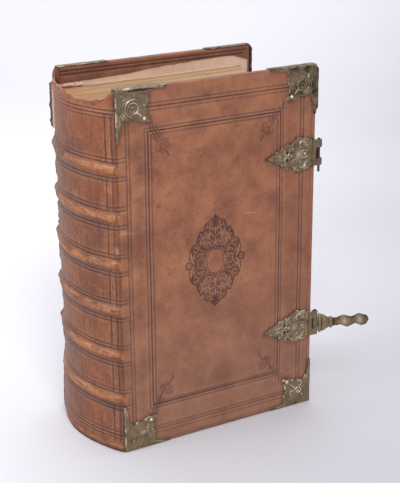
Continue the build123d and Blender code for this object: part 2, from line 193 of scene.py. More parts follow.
def smooth_noise(points, seed):
    """Value noise from -1 to 1 at points, whose last axis is x, y, z."""
    cell = np.floor(points).astype(np.int64)
    part = points - cell
    part = part * part * (3 - 2 * part)
    total = 0.0
    for corner in np.ndindex(2, 2, 2):
        share = 1.0
        for axis in range(3):
            share = share * (part[..., axis] if corner[axis] else 1 - part[..., axis])
        total = total + share * hashed(*[cell[..., axis] + corner[axis] for axis in range(3)], seed)
    return total


def noise(points, size, seed, octaves=2):
    """Layers of noise, the largest with features of that size in millimetres; size may be one per axis."""
    points = points / np.array(size, float)
    return sum(smooth_noise(points * 2.03**i, seed + i) * 0.5**i for i in range(octaves))


def at(x, y, z):
    """Places from their three coordinates, any of which may be one number for all."""
    return np.stack(np.broadcast_arrays(x, y, z), axis=-1)


def bump(distance, half):
    """1 in the middle, 0 at half and beyond."""
    return np.cos(np.clip(np.abs(distance) / half, 0, 1) * np.pi / 2) ** 2


def ramp(value, low, high):
    """0 below low, 1 above high, smooth between them."""
    t = np.clip((value - low) / (high - low), 0, 1)
    return t * t * (3 - 2 * t)


# ---------------------------------------------------------------- curves for ornament
def arc(x, z, radius, start, end, count=14, end_radius=None):
    """Points along an arc or a spiral, angles in degrees."""
    angles = np.radians(np.linspace(start, end, count))
    radii = np.linspace(radius, radius if end_radius is None else end_radius, count)
    return np.stack([x + radii * np.cos(angles), z + radii * np.sin(angles)], axis=-1)


def near(points, line):
    """Distance from each point to an open polyline."""
    line = np.asarray(line, float)
    best = np.full(points.shape[:-1], 1e9)
    for a, b in zip(line[:-1], line[1:]):
        along = b - a
        t = np.clip(((points - a) @ along) / max(along @ along, 1e-9), 0, 1)
        best = np.minimum(best, np.linalg.norm(points - a - t[..., None] * along, axis=-1))
    return best


def inside(points, outline):
    """Which points lie inside a closed polygon."""
    x, z = points[..., 0], points[..., 1]
    found = np.zeros(x.shape, bool)
    for (ax, az), (bx, bz) in zip(outline, np.roll(outline, -1, axis=0)):
        crosses = (az > z) != (bz > z)
        slope = (bx - ax) * (z - az) / np.where(bz == az, 1e-12, bz - az) + ax
        found ^= crosses & (x < slope)
    return found


def depth_inside(points, outline):
    """Signed distance to a closed outline, positive inside."""
    outline = np.asarray(outline, float)
    edge = near(points, np.vstack([outline, outline[:1]]))
    return np.where(inside(points, outline), edge, -edge)


def stations(start, end, coarse, spans):
    """Places from start to end, coarse apart, but closer in each (from, to, step) span."""
    places = [start, end]
    places += list(np.arange(start + coarse, end - coarse / 2, coarse))
    for low, high, step in spans:
        low, high = max(low, start), min(high, end)
        if high <= low:
            continue
        places = [p for p in places if not low - coarse / 3 < p < high + coarse / 3 or p in (start, end)]
        places += list(np.linspace(low, high, max(2, int(round((high - low) / step)) + 1)))
    places = sorted(set(round(p, 4) for p in places))
    kept = [places[0]]
    for p in places[1:]:
        if p - kept[-1] > 0.2:
            kept.append(p)
    kept[-1] = places[-1]
    return np.array(kept)


# ---------------------------------------------------------------- mesh building
class Surface:
    """Vertices in millimetres, faces and masks for the shader, gathered into one mesh."""

    def __init__(self, *masks):
        self.points, self.faces, self.count = [], [], 0
        self.masks = {name: [] for name in masks}

    def add(self, points, **masks):
        """Adds vertices and returns their numbers, in the same layout."""
        points = np.asarray(points, float)
        shape = points.shape[:-1]
        number = np.arange(self.count, self.count + int(np.prod(shape))).reshape(shape)
        self.points.append(points.reshape(-1, 3))
        self.count += number.size
        for name, values in self.masks.items():
            value = np.broadcast_to(np.asarray(masks.get(name, 0.0), float), shape)
            values.append(value.reshape(-1))
        return number

    def quads(self, number, keep=None, closed=False):
        """Quads between neighbouring numbers of a grid; closed joins the last row to the first."""
        if closed:
            number = np.vstack([number, number[:1]])
        cells = np.stack([number[:-1, :-1], number[1:, :-1], number[1:, 1:], number[:-1, 1:]], axis=-1)
        cells = cells.reshape(-1, 4) if keep is None else cells[keep]
        self.faces += cells.tolist()

    def polygon(self, numbers):
        """One face with those vertices in turn."""
        self.faces.append([int(n) for n in numbers])

    def stitch(self, one, other):
        """Triangles between two rows of vertices that start and end side by side."""
        places = np.vstack(self.points)
        steps = []
        for row in (one, other):
            gaps = np.linalg.norm(np.diff(places[row], axis=0), axis=1)
            steps.append(np.concatenate([[0], np.cumsum(gaps)]) / max(gaps.sum(), 1e-9))
        i = j = 0
        while i < len(one) - 1 or j < len(other) - 1:
            if j == len(other) - 1 or (i < len(one) - 1 and steps[0][i + 1] <= steps[1][j + 1]):
                self.faces.append([int(one[i]), int(one[i + 1]), int(other[j])])
                i += 1
            else:
                self.faces.append([int(one[i]), int(other[j + 1]), int(other[j])])
                j += 1

    def build(self, name, material, smooth=60.0):
        """The finished object, in metres, with its masks as attributes."""
        mesh = bpy.data.meshes.new(name)
        places = np.vstack(self.points) * MM
        mesh.from_pydata(places.tolist(), [], self.faces)
        for mask, values in self.masks.items():
            attribute = mesh.attributes.new(mask, "FLOAT", "POINT")
            attribute.data.foreach_set("value", np.concatenate(values).astype(np.float32))
        shape = bmesh.new()
        shape.from_mesh(mesh)
        bmesh.ops.recalc_face_normals(shape, faces=shape.faces)
        shape.to_mesh(mesh)
        shape.free()
        mesh.shade_smooth()
        if smooth:
            mesh.set_sharp_from_angle(angle=math.radians(smooth))
        mesh.materials.append(material)
        piece = bpy.data.objects.new(name, mesh)
        bpy.context.scene.collection.objects.link(piece)
        return piece


def sheet_faces(surface, outer, inner):
    """Closes a sheet: an outer grid, an inner one on some of its rows and columns, and the edges."""
    surface.quads(outer)
    surface.quads(inner)
    surface.stitch(outer[0], inner[0])
    surface.stitch(outer[-1], inner[-1])
    surface.stitch(outer[:, 0], inner[:, 0])
    surface.stitch(outer[:, -1], inner[:, -1])


def thinned(count, step):
    """Every step-th number below count, with the last."""
    return np.array(sorted(set(range(0, count, step)) | {count - 1}))


# ---------------------------------------------------------------- materials
class Shader:
    """A node material and short ways to add its nodes."""

    def __init__(self, name, **sockets):
        self.material = bpy.data.materials.new(name)
        self.material.use_nodes = True
        self.tree = self.material.node_tree
        self.surface = self.tree.nodes["Principled BSDF"]
        self.places = self.node("ShaderNodeTexCoord").outputs["Object"]
        self.set(self.surface, sockets)

    def set(self, node, sockets):
        for name, value in sockets.items():
            socket = node.inputs[name] if isinstance(name, int) else node.inputs[name.replace("_", " ")]
            if isinstance(value, bpy.types.NodeSocket):
                self.tree.links.new(value, socket)
            elif socket.type == "RGBA":
                socket.default_value = (*value, 1.0)
            else:
                socket.default_value = value

    def node(self, kind, options=None, sockets=None):
        made = self.tree.nodes.new(kind)
        for name, value in (options or {}).items():
            setattr(made, name, value)
        self.set(made, sockets or {})
        return made

    def scaled(self, scale, turn=(0.0, 0.0, 0.0)):
        sockets = {"Vector": self.places, "Scale": scale, "Rotation": turn}
        return self.node("ShaderNodeMapping", sockets=sockets).outputs[0]

    def noise(self, size_mm, detail=3.0, rough=0.55, stretch=None, distortion=0.0, turn=None):
        """Noise from 0 to 1 with features of that size; stretch and turn change the places first."""
        vector = self.places
        if stretch or turn:
            vector = self.scaled(stretch or (1.0, 1.0, 1.0), turn or (0.0, 0.0, 0.0))
        made = self.node("ShaderNodeTexNoise", sockets={
            "Vector": vector, "Scale": 1 / (size_mm * MM), "Detail": detail, "Roughness": rough,
            "Distortion": distortion})
        return made.outputs[0]

    def math(self, operation, a, b=0.5, clamp=False):
        made = self.node("ShaderNodeMath", {"operation": operation, "use_clamp": clamp}, {0: a, 1: b})
        return made.outputs[0]

    def band(self, value, low, high, out_low=0.0, out_high=1.0):
        made = self.node("ShaderNodeMapRange", {"interpolation_type": "SMOOTHSTEP"}, {
            "Value": value, "From_Min": low, "From_Max": high, "To_Min": out_low, "To_Max": out_high})
        return made.outputs[0]

    def mask(self, name):
        return self.node("ShaderNodeAttribute", {"attribute_name": name}).outputs["Fac"]

    def blend(self, share, a, b):
        return self.node("ShaderNodeMix", {"data_type": "RGBA"}, {0: share, 6: a, 7: b}).outputs[2]

    def tint(self, base, value, low, high, share, tone):
        """base, mixed with up to that share of a tone as value passes from low to high."""
        return self.blend(self.math("MULTIPLY", self.band(value, low, high), share), base, tone)

    def relief(self, height, distance_mm, strength=1.0, below=None):
        sockets = {"Height": height, "Distance": distance_mm * MM, "Strength": strength}
        if below is not None:
            sockets["Normal"] = below
        return self.node("ShaderNodeBump", sockets=sockets).outputs[0]

    def finish(self, **sockets):
        self.set(self.surface, sockets)
        return self.material


def leather_material(name, spine=False):
    """Calfskin, mottled and rubbed, with a fine diced grain; masks place tooling, wear, stains, painted
    shade and painted highlights.
    """
    look = settings("leather")
    s = Shader(name, Specular_IOR_Level=0.26 if spine else 0.34)
    clouds = s.noise(46, 5.0, 0.62, distortion=0.3)
    patches = s.noise(9, 5.0, 0.66)
    specks = s.noise(2.6, 4.0, 0.7)
    pores = s.noise(0.7, 3.0, 0.6)
    base = s.blend(s.band(clouds, 0.26, 0.72), tuple(look.red), tuple(look.light))
    if spine:
        streaks = s.noise(3.2, 4.0, 0.65, stretch=(1.0, 1.0, 0.09))
        base = s.blend(s.band(clouds, 0.3, 0.65), tuple(look.spine), (0.245, 0.071, 0.021))
        # Upright streaks stand for the spine's wrinkles: lighter ones are painted highlights, darker ones
        # painted shade
        base = s.tint(base, streaks, 0.52, 0.74, 0.34, (0.35, 0.148, 0.068))
        base = s.tint(base, streaks, 0.47, 0.3, 0.75, tuple(look.dark))
    tinge = s.noise(11, 5.0, 0.64, turn=(0.5, 0.3, 0.9))
    most_light = 0.3 if spine else 0.5
    base = s.tint(base, patches, 0.5, 0.66, most_light, (0.4, 0.165, 0.068))
    base = s.tint(base, tinge, 0.52, 0.68, 0.32, (0.23, 0.098, 0.068))
    base = s.tint(base, patches, 0.46, 0.32, 0.5, tuple(look.red))
    base = s.tint(base, specks, 0.56, 0.68, 0.55, (0.09, 0.032, 0.02))
    dots = s.noise(1.5, 2.0, 0.5, turn=(0.2, 0.8, 0.4))
    base = s.tint(base, dots, 0.66, 0.74, 0.6, (0.06, 0.025, 0.018))
    base = s.tint(base, pores, 0.52, 0.74, 0.3, (0.5, 0.27, 0.15))
    # The leather is darker towards the fore-edge and greyer towards the bottom
    along, across, height = s.node("ShaderNodeSeparateXYZ", sockets={0: s.places}).outputs
    if spine:
        # Painted sheen: a greyer tint over the back half of the spine, where the light grazes it
        painted_sheen = s.band(across, (middle_y - 22) * MM, (middle_y + 48) * MM, 0.0, 0.34)
        base = s.blend(painted_sheen, base, (0.2, 0.105, 0.085))
    far = s.band(along, (joint_x + 0.45 * width) * MM, fore_x * MM, 0.0, 0.32)
    base = s.blend(far, base, (0.26, 0.092, 0.055))
    most = 0.15 if spine else 0.6
    dull = s.math("MULTIPLY", s.band(height, 0.21, 0.03), s.band(clouds, 0.2, 0.75, 0.4 * most, most))
    base = s.blend(dull, base, (0.26, 0.135, 0.092))
    # Rubbed places show the ochre inside of the skin, in flecks
    flecks = s.noise(3.4, 5.0, 0.72)
    rubbed = s.math("MULTIPLY", s.mask("worn"), s.band(flecks, 0.3, 0.56), clamp=True)
    tone = s.blend(s.band(specks, 0.35, 0.7), (0.34, 0.115, 0.036), tuple(look.worn))
    base = s.blend(rubbed, base, tone)
    if spine:
        near_head = s.band(height, 0.322, 0.346, 0.0, 0.7)
        ruddy = s.math("MULTIPLY", near_head, s.band(tinge, 0.34, 0.56), clamp=True)
        base = s.blend(ruddy, base, (0.31, 0.088, 0.032))
    # Stains and painted shade, then the pale places (bare leather and painted highlights) and the burnished
    # places
    for mask, value, limits, tone in (("soil", patches, (0.22, 0.6, 0.5, 1.0), (0.07, 0.035, 0.03)),
                                      ("pale", flecks, (0.25, 0.6, 0.4, 1.0), (0.66, 0.45, 0.31)),
                                      ("tooling", specks, (0.2, 0.75, 1.0, 0.7), tuple(look.dark))):
        share = s.math("MULTIPLY", s.mask(mask), s.band(value, *limits), clamp=True)
        base = s.blend(share, base, tone)
    # Diced grain: two sets of fine slanted lines
    dice = []
    for turn in (0.62, -0.62):
        wave = s.node("ShaderNodeTexWave", {"bands_direction": "X"}, {
            "Vector": s.scaled((1.0, 0.0, 1.0), (0.0, turn, 0.0)), "Scale": 118.0, "Distortion": 0.6,
            "Detail": 1.0, "Detail_Scale": 0.4})
        dice.append(wave.outputs[1])
    grid = s.math("MULTIPLY", s.math("ADD", *dice), 0.5)
    grid = s.math("MULTIPLY", grid, s.band(tinge, 0.34, 0.62, 0.3, 1.0))
    grid_share = 0.16 if spine else 0.29
    base = s.blend(s.math("MULTIPLY", grid, grid_share), base, tuple(look.dark))
    normal = s.relief(pores, 0.16, 0.5)
    normal = s.relief(specks, 0.3, 0.45, normal)
    normal = s.relief(grid, 0.1, -0.35, normal)
    rough = s.band(specks, 0.3, 0.75, look.roughness - 0.1, look.roughness + 0.16)
    return s.finish(Base_Color=base, Roughness=rough, Normal=normal)


def brass_material(name, lift=0.0, relief=True):
    """Tarnished brass, dirty in its hollows and bright where rubbed; mask `high` is the relief, and on some
    pieces carries painted highlights and painted shade.
    """
    look = settings("brass")
    s = Shader(name, Metallic=0.72)
    cloud = s.noise(9, 4.0, 0.6)
    grain = s.noise(1.1, 4.0, 0.7)
    high = s.mask("high") if relief else s.band(s.noise(4, 3.0, 0.6), 0.3, 0.75, 0.22, 0.66)
    deep, light = [tuple(c * share for c in look.olive) for share in (0.78, 1.3)]
    tone = s.blend(s.band(cloud, 0.3, 0.7), deep, light)
    tone = s.tint(tone, grain, 0.52, 0.75, 0.4, (0.36, 0.24, 0.12))
    worn = s.math("ADD", high, s.band(grain, 0.25, 0.75, -0.1, 0.1))
    tone = s.blend(s.band(worn, 0.54 - lift, 1.08 - lift), tone, tuple(look.bright))
    dirty = s.math("ADD", high, s.band(cloud, 0.3, 0.7, -0.03, 0.05))
    tone = s.blend(s.band(dirty, 0.36, 0.1), tone, tuple(look.dirt))
    rough = s.band(grain, 0.25, 0.8, look.roughness - 0.14, look.roughness + 0.18)
    normal = s.relief(grain, 0.12, 0.5)
    normal = s.relief(cloud, 0.6, 0.3, normal)
    return s.finish(Base_Color=tone, Roughness=rough, Normal=normal)


def nail_material(name, dull, bright):
    """Nail heads, mottled between two tones."""
    s = Shader(name, Metallic=0.85)
    grain = s.noise(0.9, 3.0, 0.6)
    tone = s.blend(s.band(grain, 0.35, 0.7), dull, bright)
    # The nails close to the head and the tail are seldom rubbed, and stay dull
    height = s.node("ShaderNodeSeparateXYZ", sockets={0: s.places}).outputs[2]
    middle = total_height / 2 * MM
    away = s.math("ABSOLUTE", s.math("SUBTRACT", height, middle))
    tone = s.blend(s.band(away, middle - 0.021, middle - 0.016), tone, (0.24, 0.19, 0.11))
    rough = s.band(grain, 0.3, 0.7, 0.22, 0.42)
    return s.finish(Base_Color=tone, Roughness=rough, Normal=s.relief(grain, 0.12, 0.4))


def iron_material():
    """Dark wrought pins with a little rust."""
    s = Shader("pin_iron", Metallic=0.8)
    grain = s.noise(1.4, 4.0, 0.65)
    tone = s.blend(s.band(grain, 0.45, 0.7), (0.07, 0.065, 0.07), (0.2, 0.13, 0.1))
    rough = s.band(grain, 0.3, 0.7, 0.4, 0.65)
    return s.finish(Base_Color=tone, Roughness=rough, Normal=s.relief(grain, 0.2, 0.4))


def leaves_material():
    """Edges of the leaves: fine lines along each leaf, browned and dusty in patches."""
    look = settings("paper")
    s = Shader("leaf_edges", Specular_IOR_Level=0.2)
    lines = s.noise(2.2, 5.0, 0.75, stretch=(0.02, 4.0, 0.02))
    groups = s.noise(14, 3.0, 0.6, stretch=(0.05, 2.0, 0.05))
    cloud = s.noise(38, 4.0, 0.6)
    base = s.blend(s.band(groups, 0.35, 0.65), tuple(look.leaf), tuple(c * 0.62 for c in look.leaf))
    base = s.tint(base, lines, 0.44, 0.6, 0.8, tuple(look.dust))
    base = s.tint(base, cloud, 0.48, 0.72, 0.35, tuple(look.dust))
    base = s.blend(s.mask("dust"), base, (0.42, 0.19, 0.075))
    base = s.blend(s.mask("pale"), base, (0.83, 0.66, 0.49))
    foxing = s.noise(6, 4.0, 0.6)
    sheet = s.blend(s.band(cloud, 0.3, 0.75), (0.68, 0.51, 0.36), (0.79, 0.63, 0.47))
    sheet = s.tint(sheet, foxing, 0.62, 0.74, 0.45, (0.42, 0.24, 0.11))
    base = s.blend(s.mask("page"), base, sheet)
    normal = s.relief(lines, 0.35, 0.6)
    return s.finish(Base_Color=base, Roughness=0.85, Normal=normal)


def sheet_material():
    """The pastedowns: pinkish laid paper, foxed and dirty at the edge."""
    look = settings("paper")
    s = Shader("endpaper", Specular_IOR_Level=0.25, Roughness=0.8)
    cloud = s.noise(26, 4.0, 0.6)
    fibre = s.noise(1.6, 4.0, 0.7)
    fox = s.noise(5.5, 3.0, 0.5)
    base = s.blend(s.band(cloud, 0.35, 0.7), tuple(look.sheet), tuple(c * 0.8 for c in look.sheet))
    base = s.tint(base, fox, 0.66, 0.76, 0.6, (0.36, 0.19, 0.1))
    base = s.blend(s.math("MULTIPLY", s.mask("edge"), 0.55), base, (0.5, 0.32, 0.2))
    base = s.tint(base, fibre, 0.4, 0.7, 0.16, (0.86, 0.72, 0.6))
    return s.finish(Base_Color=base, Normal=s.relief(fibre, 0.12, 0.35))


def wood_material():
    """Quarter-sawn oak of the boards."""
    s = Shader("board_oak", Specular_IOR_Level=0.3)
    grain = s.noise(1.4, 4.0, 0.6, stretch=(1.0, 1.0, 0.04))
    rays = s.noise(8, 3.0, 0.6, stretch=(1.0, 1.0, 0.3))
    base = s.blend(s.band(grain, 0.35, 0.65), (0.32, 0.19, 0.09), (0.19, 0.1, 0.045))
    base = s.tint(base, rays, 0.5, 0.7, 0.4, (0.44, 0.29, 0.15))
    # Glue and dirt have darkened the edge along the joint
    along = s.node("ShaderNodeSeparateXYZ", sockets={0: s.places}).outputs[0]
    base = s.blend(s.band(along, (joint_x + 6) * MM, (joint_x + 3) * MM), base, (0.15, 0.06, 0.038))
    return s.finish(Base_Color=base, Roughness=0.7, Normal=s.relief(grain, 0.3, 0.5))


def thread_material(name, light, dark, size_mm=0.8, coloured=None):
    """Twisted thread or woven linen; mask `stripe` picks the coloured thread."""
    s = Shader(name, Sheen_Weight=0.3, Roughness=0.9, Specular_IOR_Level=0.15)
    fibre = s.noise(size_mm, 4.0, 0.7, stretch=(1.0, 0.5, 2.0))
    soil = s.noise(7, 3.0, 0.6)
    base = s.blend(s.band(fibre, 0.35, 0.68), dark, light)
    if coloured:
        base = s.blend(s.mask("stripe"), base, coloured)
    base = s.tint(base, soil, 0.5, 0.7, 0.4, tuple(c * 0.4 for c in dark))
    return s.finish(Base_Color=base, Normal=s.relief(fibre, 0.3, 0.6))


# ---------------------------------------------------------------- tooling of the covers
# Fillets of the covers, from the joint line and the floor: direction, place, from, to, strength
FRAME_IN = (30.5, 33.7, 36.9)  # the triple frame's left lines
FRAME_OUT = (180.5, 177.7, 174.4)
FRAME_TAIL = (40.0, 43.0, 45.8)
FRAME_HEAD = (321.2, 318.2, 315.2)
FRAME_WEIGHT = (0.65, 1.15, 0.6)
FILLETS = [
    ("x", 11.2, 3, 357, 0.75), ("x", 14.4, 3, 357, 0.6),
    ("x", 201.0, 12, 344, 0.8), ("x", 204.5, 12, 344, 0.7), ("x", 213.8, 12, 350, 0.35),
    ("z", 343.8, 11, 205, 0.55), ("z", 340.6, 11, 205, 1.0), ("z", 337.3, 11, 205, 0.45),
    ("z", 19.2, 11, 205, 0.7), ("z", 16.3, 11, 205, 0.8), ("z", 12.2, 11, 205, 0.4),
    ("z", 4.2, 8, 214, 0.35),
]
for left, right, bottom, top, weight in zip(FRAME_IN, FRAME_OUT, FRAME_TAIL, FRAME_HEAD, FRAME_WEIGHT):
    FILLETS += [("x", left, bottom, top, weight), ("x", right, bottom, top, weight)]
    FILLETS += [("z", bottom, left, right, weight), ("z", top, left, right, weight)]

# Slanted triple lines from each cornerpiece across the frame: from, to
MITRES = (
    ((33.0, 331.0), (46.5, 310.5)),
    ((188.5, 330.0), (165.0, 309.5)),
    ((31.5, 31.0), (42.5, 50.0)),
    ((187.0, 29.5), (168.5, 51.5)),
)

# Spine tooling: paired fillets above and below each band
BAND_FILLETS = [(band + side * away, weight) for band in BANDS for side in (1, -1)
                for away, weight in ((7.0, 1.1), (10.6, 1.0))]
HEAD_LINES = ((341.0, 1.1), (337.6, 1.2), (334.2, 0.8))
TAIL_LINES = ((22.0, 1.0), (18.4, 1.2), (14.6, 0.9))

MEDALLION = np.array((104.5, 180.0))
# Stains and marks: x, z, radius, strength
STAINS = (
    (25.0, 283.0, 6.0, 0.6), (121.0, 293.0, 8.0, 0.3), (129.0, 277.0, 6.0, 0.42),
    (95.0, 345.0, 5.0, 0.5), (147.0, 187.0, 9.0, 0.38), (20.0, 142.0, 7.0, 0.35),
    (84.0, 345.0, 9.0, 0.3), (44.0, 246.0, 3.0, 0.4), (66.0, 337.0, 4.0, 0.4),
    (60.0, 110.0, 12.0, 0.22), (172.0, 232.0, 7.0, 0.22), (112.0, 62.0, 14.0, 0.25),
    (150.0, 95.0, 10.0, 0.22), (8.7, 209.0, 1.4, 1.0), (183.0, 341.0, 8.0, 0.3),
    (200.0, 57.0, 12.0, 0.25), (13.0, 214.0, 5.0, 0.25), (38.0, 60.0, 9.0, 0.25),
    (107.0, 268.0, 7.0, 0.2),
)
# Scratches: from, to
SCRATCHES = (((138.0, 223.4), (151.0, 221.0)), ((2.5, 225.0), (20.0, 223.8)))


def medallion_outline():
    """A quarter of the stamped medallion, from its tip round to its side knob, mirrored both ways."""
    quarter = [
        (0.0, 48.3), (2.2, 45.2), (5.6, 43.0), (6.4, 41.4), (9.6, 41.0), (12.6, 38.4), (13.6, 35.2),
        (12.9, 32.4), (17.6, 33.2), (18.4, 30.6), (20.0, 27.4), (21.6, 24.0), (21.4, 21.8),
        (24.9, 20.3), (27.5, 17.2), (29.1, 12.5), (29.4, 7.4), (28.6, 4.3), (31.4, 4.2), (33.1, 2.4),
        (33.6, 0.0),
    ]
    right = quarter + [(x, -z) for x, z in reversed(quarter[:-1])]
    return np.array(right + [(-x, z) for x, z in reversed(right[1:-1])])


def medallion_scrolls():
    """Raised stems and leaves of a quarter of the medallion: polyline and half width."""
    return [
        (arc(7.6, 37.0, 3.5, 30, 390, 22, 1.2), 0.65),
        (arc(2.0, 41.0, 2.6, 100, -40, 10), 0.5),
        ([(0.0, 34.5), (0.0, 28.0)], 0.8),
        (arc(3.6, 31.0, 3.0, 150, -30, 10), 0.6),
        (arc(5.0, 24.6, 3.6, 160, -60, 12, 2.0), 0.65),
        (arc(13.8, 28.4, 3.8, 70, 330, 16, 1.6), 0.7),
        ([(17.2, 31.6), (15.0, 26.5), (12.0, 22.8)], 0.6),
        ([(10.0, 32.0), (9.0, 28.5), (10.0, 25.0)], 0.5),
        (arc(14.0, 19.0, 3.0, 10, 250, 12, 1.2), 0.6),
        (arc(9.6, 19.6, 2.2, -30, 170, 9), 0.5),
        (arc(20.6, 13.6, 7.0, 95, -35, 16), 0.75),
        (arc(22.0, 14.2, 3.3, 80, 360, 16, 1.2), 0.65),
        ([(26.6, 9.8), (26.2, 5.0), (23.6, 1.6)], 0.7),
        (arc(24.4, 4.6, 2.6, 200, 20, 9), 0.5),
        (arc(16.6, 8.4, 2.8, -20, 250, 14, 1.2), 0.6),
        (arc(17.4, 1.8, 2.6, -60, 100, 9), 0.6),
        ([(13.4, 12.8), (17.6, 14.4), (19.4, 18.6)], 0.5),
        (arc(29.6, 0.0, 1.9, 0, 180, 8), 0.5),
        ([(13.0, 4.6), (15.2, 4.9), (17.4, 4.4)], 0.5),
        (arc(0.0, 0.0, 1.0, 0, 90, 16) * (10.4, 13.8), 0.35),
        (arc(3.2, 18.6, 2.3, -20, 200, 9), 0.5),
        ([(0.0, 25.0), (0.0, 17.6)], 0.5),
        (arc(7.6, 17.4, 2.0, 160, -60, 9), 0.45),
        ([(11.6, 9.4), (13.4, 7.2), (13.2, 5.6)], 0.45),
        (arc(12.8, 1.4, 1.6, 100, 290, 7), 0.45),
        ([(5.8, 29.4), (8.2, 27.2), (8.6, 24.4)], 0.45),
        (arc(17.4, 23.4, 1.9, 60, 260, 8), 0.45),
        (arc(24.6, 17.4, 1.5, 0, 200, 7), 0.4),
        ([(2.4, 44.6), (0.0, 46.8)], 0.5),
        ([(27.4, 11.4), (28.0, 7.6)], 0.4),
        (arc(9.8, 36.4, 2.0, -100, 60, 7), 0.45),
        (arc(11.8, 15.4, 1.5, 20, 250, 8), 0.4),
        ([(2.6, 15.4), (5.6, 16.4), (8.2, 14.6)], 0.4),
        (arc(14.9, 10.6, 1.3, 100, 300, 7), 0.4),
    ]


def stamp_medallion(places):
    """The stamp's depth, its burnished darkness and its rubbed stems, all 0 to 1."""
    local = places - MEDALLION
    region = (np.abs(local[..., 0]) < 36) & (np.abs(local[..., 1]) < 51)
    sunk, dark, bare = [np.zeros(places.shape[:-1]) for _ in range(3)]
    if not region.any():
        return sunk, dark, bare
    local = local[region]
    edge = depth_inside(local, medallion_outline())
    edge = edge + 0.25 * noise(at(*local.T, 0.0), 2.4, 31)
    oval = np.hypot(local[:, 0] / 8.6, local[:, 1] / 11.9)
    ground = ramp(edge, -0.15, 0.75) * ramp(oval, 0.98, 1.07)
    folded = np.abs(local)
    raised = np.zeros(len(local))
    for line, half in medallion_scrolls():
        raised = np.maximum(raised, 1 - ramp(near(folded, line), half * 0.5, half * 1.1))
    rim = bump(edge - 0.9, 1.1)
    # Curls too small to tell apart fill the ground between the stems
    curls = 1 - ramp(np.abs(noise(at(*folded.T, 5.0), 4.4, 37, 2)), 0.03, 0.2)
    raised = np.maximum(raised, 0.5 * curls) * ramp(edge, 0.9, 1.6) * ramp(oval, 1.04, 1.12)
    uneven = 0.82 + 0.35 * noise(at(*local.T, 12.0), 7, 33, 3)
    sunk[region] = ground * (1 - 0.8 * raised) + 0.3 * rim
    dark[region] = np.clip(ground * (0.95 * uneven - 0.8 * raised) + 0.35 * rim, 0, 1)
    bare[region] = ground * raised
    return sunk, dark, bare


def stamp_fleurons(places):
    """Depth and darkness of the four corner flowers inside the frame."""
    sunk = np.zeros(places.shape[:-1])
    corners = [(x, z, way_x, way_z) for z, way_z in ((FRAME_HEAD[2], -1), (FRAME_TAIL[2], 1))
               for x, way_x in ((FRAME_IN[2], 1), (FRAME_OUT[2], -1))]
    for x, z, way_x, way_z in corners:
        u, v = (places[..., 0] - x) * way_x, (places[..., 1] - z) * way_z
        near_it = (u > -2) & (u < 24) & (v > -2) & (v < 26)
        local = np.stack([u[near_it], v[near_it]], axis=-1)
        shape = np.zeros(len(local))
        petals = ((14.4, 7.8, 4.4, 2.8, -0.25), (7.6, 13.6, 2.9, 4.5, 0.2), (12.4, 12.8, 4.4, 3.8, 0.8),
                  (16.6, 11.6, 3.0, 2.0, 0.2), (11.4, 16.8, 2.1, 3.0, -0.2))
        for cx, cy, rx, ry, turn in petals:
            du, dv = local[:, 0] - cx, local[:, 1] - cy
            a = du * math.cos(turn) + dv * math.sin(turn)
            b = dv * math.cos(turn) - du * math.sin(turn)
            reach = np.hypot(a / rx, b / ry)
            petal = (1 - ramp(reach, 0.9, 1.08)) * (0.42 + 0.58 * ramp(reach, 0.5, 0.86))
            shape = np.maximum(shape, petal)
        for stem, thin, thick in (([(14.0, 15.0), (16.4, 18.2), (18.6, 22.4)], 0.5, 1.3),
                                  ([(3.0, 3.0), (7.0, 8.4), (11.0, 12.0)], 0.6, 1.4)):
            shape = np.maximum(shape, 1 - ramp(near(local, stem), thin, thick))
        veins = np.zeros(len(local))
        for line in ([(9.0, 9.6), (14.8, 6.4)], [(8.2, 9.8), (6.4, 15.4)], [(10.4, 11.2), (15.0, 15.4)],
                     [(12.0, 9.0), (17.8, 11.8)]):
            veins = np.maximum(veins, 1 - ramp(near(local, line), 0.25, 0.85))
        sunk[near_it] = np.maximum(sunk[near_it], shape * (1 - 0.7 * veins))
    return sunk


RIDGE_HIGHLIGHT = 0.12  # how pale the painted highlight on the ridges beside the tooled lines is


def tool(skin, distance, weight, share=1.0):
    """Adds a burnished groove, with a slight ridge each side that carries a painted highlight, to a skin's
    rise and masks.
    """
    rise, tooling, pale, uneven = skin
    depth = settings("leather").line_depth
    groove = np.exp(-((distance / 0.7) ** 2))
    ridge = np.exp(-(((np.abs(distance) - 1.5) / 0.55) ** 2))
    rise += depth * weight * (0.4 * ridge - groove) * share
    np.maximum(tooling, 1.16 * weight * groove * share * uneven, out=tooling)
    np.maximum(pale, RIDGE_HIGHLIGHT * weight * ridge * share, out=pale)


def fade(value, low, high, soft=1.2):
    """1 between low and high, 0 outside."""
    return ramp(value, low - soft, low) * (1 - ramp(value, high, high + soft))


def from_brass(places):
    """Distance to the nearest brass of the front cover, worked out close to it only."""
    best = np.full(places.shape[:-1], 99.0)
    corner = np.array([(0.0, 0.0), (strap_length, 0.0), *CORNER_FACE,
                       (2.6, side_strap_length), (0.0, side_strap_length)])
    sheets = [(edge_x, edge_z, way_x, way_z, corner)
              for edge_x, way_x in ((COVER_GAP, 1), (width, -1))
              for edge_z, way_z in ((tail_z, 1), (head_z, -1))]
    sheets += [(width, z, -1, 1, clasp_outline()) for z in clasp_z.values()]
    for edge_x, edge_z, way_x, way_z, outline in sheets:
        local = (places - (edge_x, edge_z)) * (way_x, way_z)
        close = (local < outline.max(axis=0) + 5).all(axis=-1) & (local[..., 1] > outline[:, 1].min() - 5)
        if close.any():
            best[close] = np.minimum(best[close], -depth_inside(local[close], outline))
    return best


LEATHER_MASKS = ("tooling", "worn", "soil", "pale")


def leather_masks(*values):
    """The leather's four masks by name, each kept from 0 to 1."""
    return {name: np.clip(value, 0, 1) for name, value in zip(LEATHER_MASKS, values)}


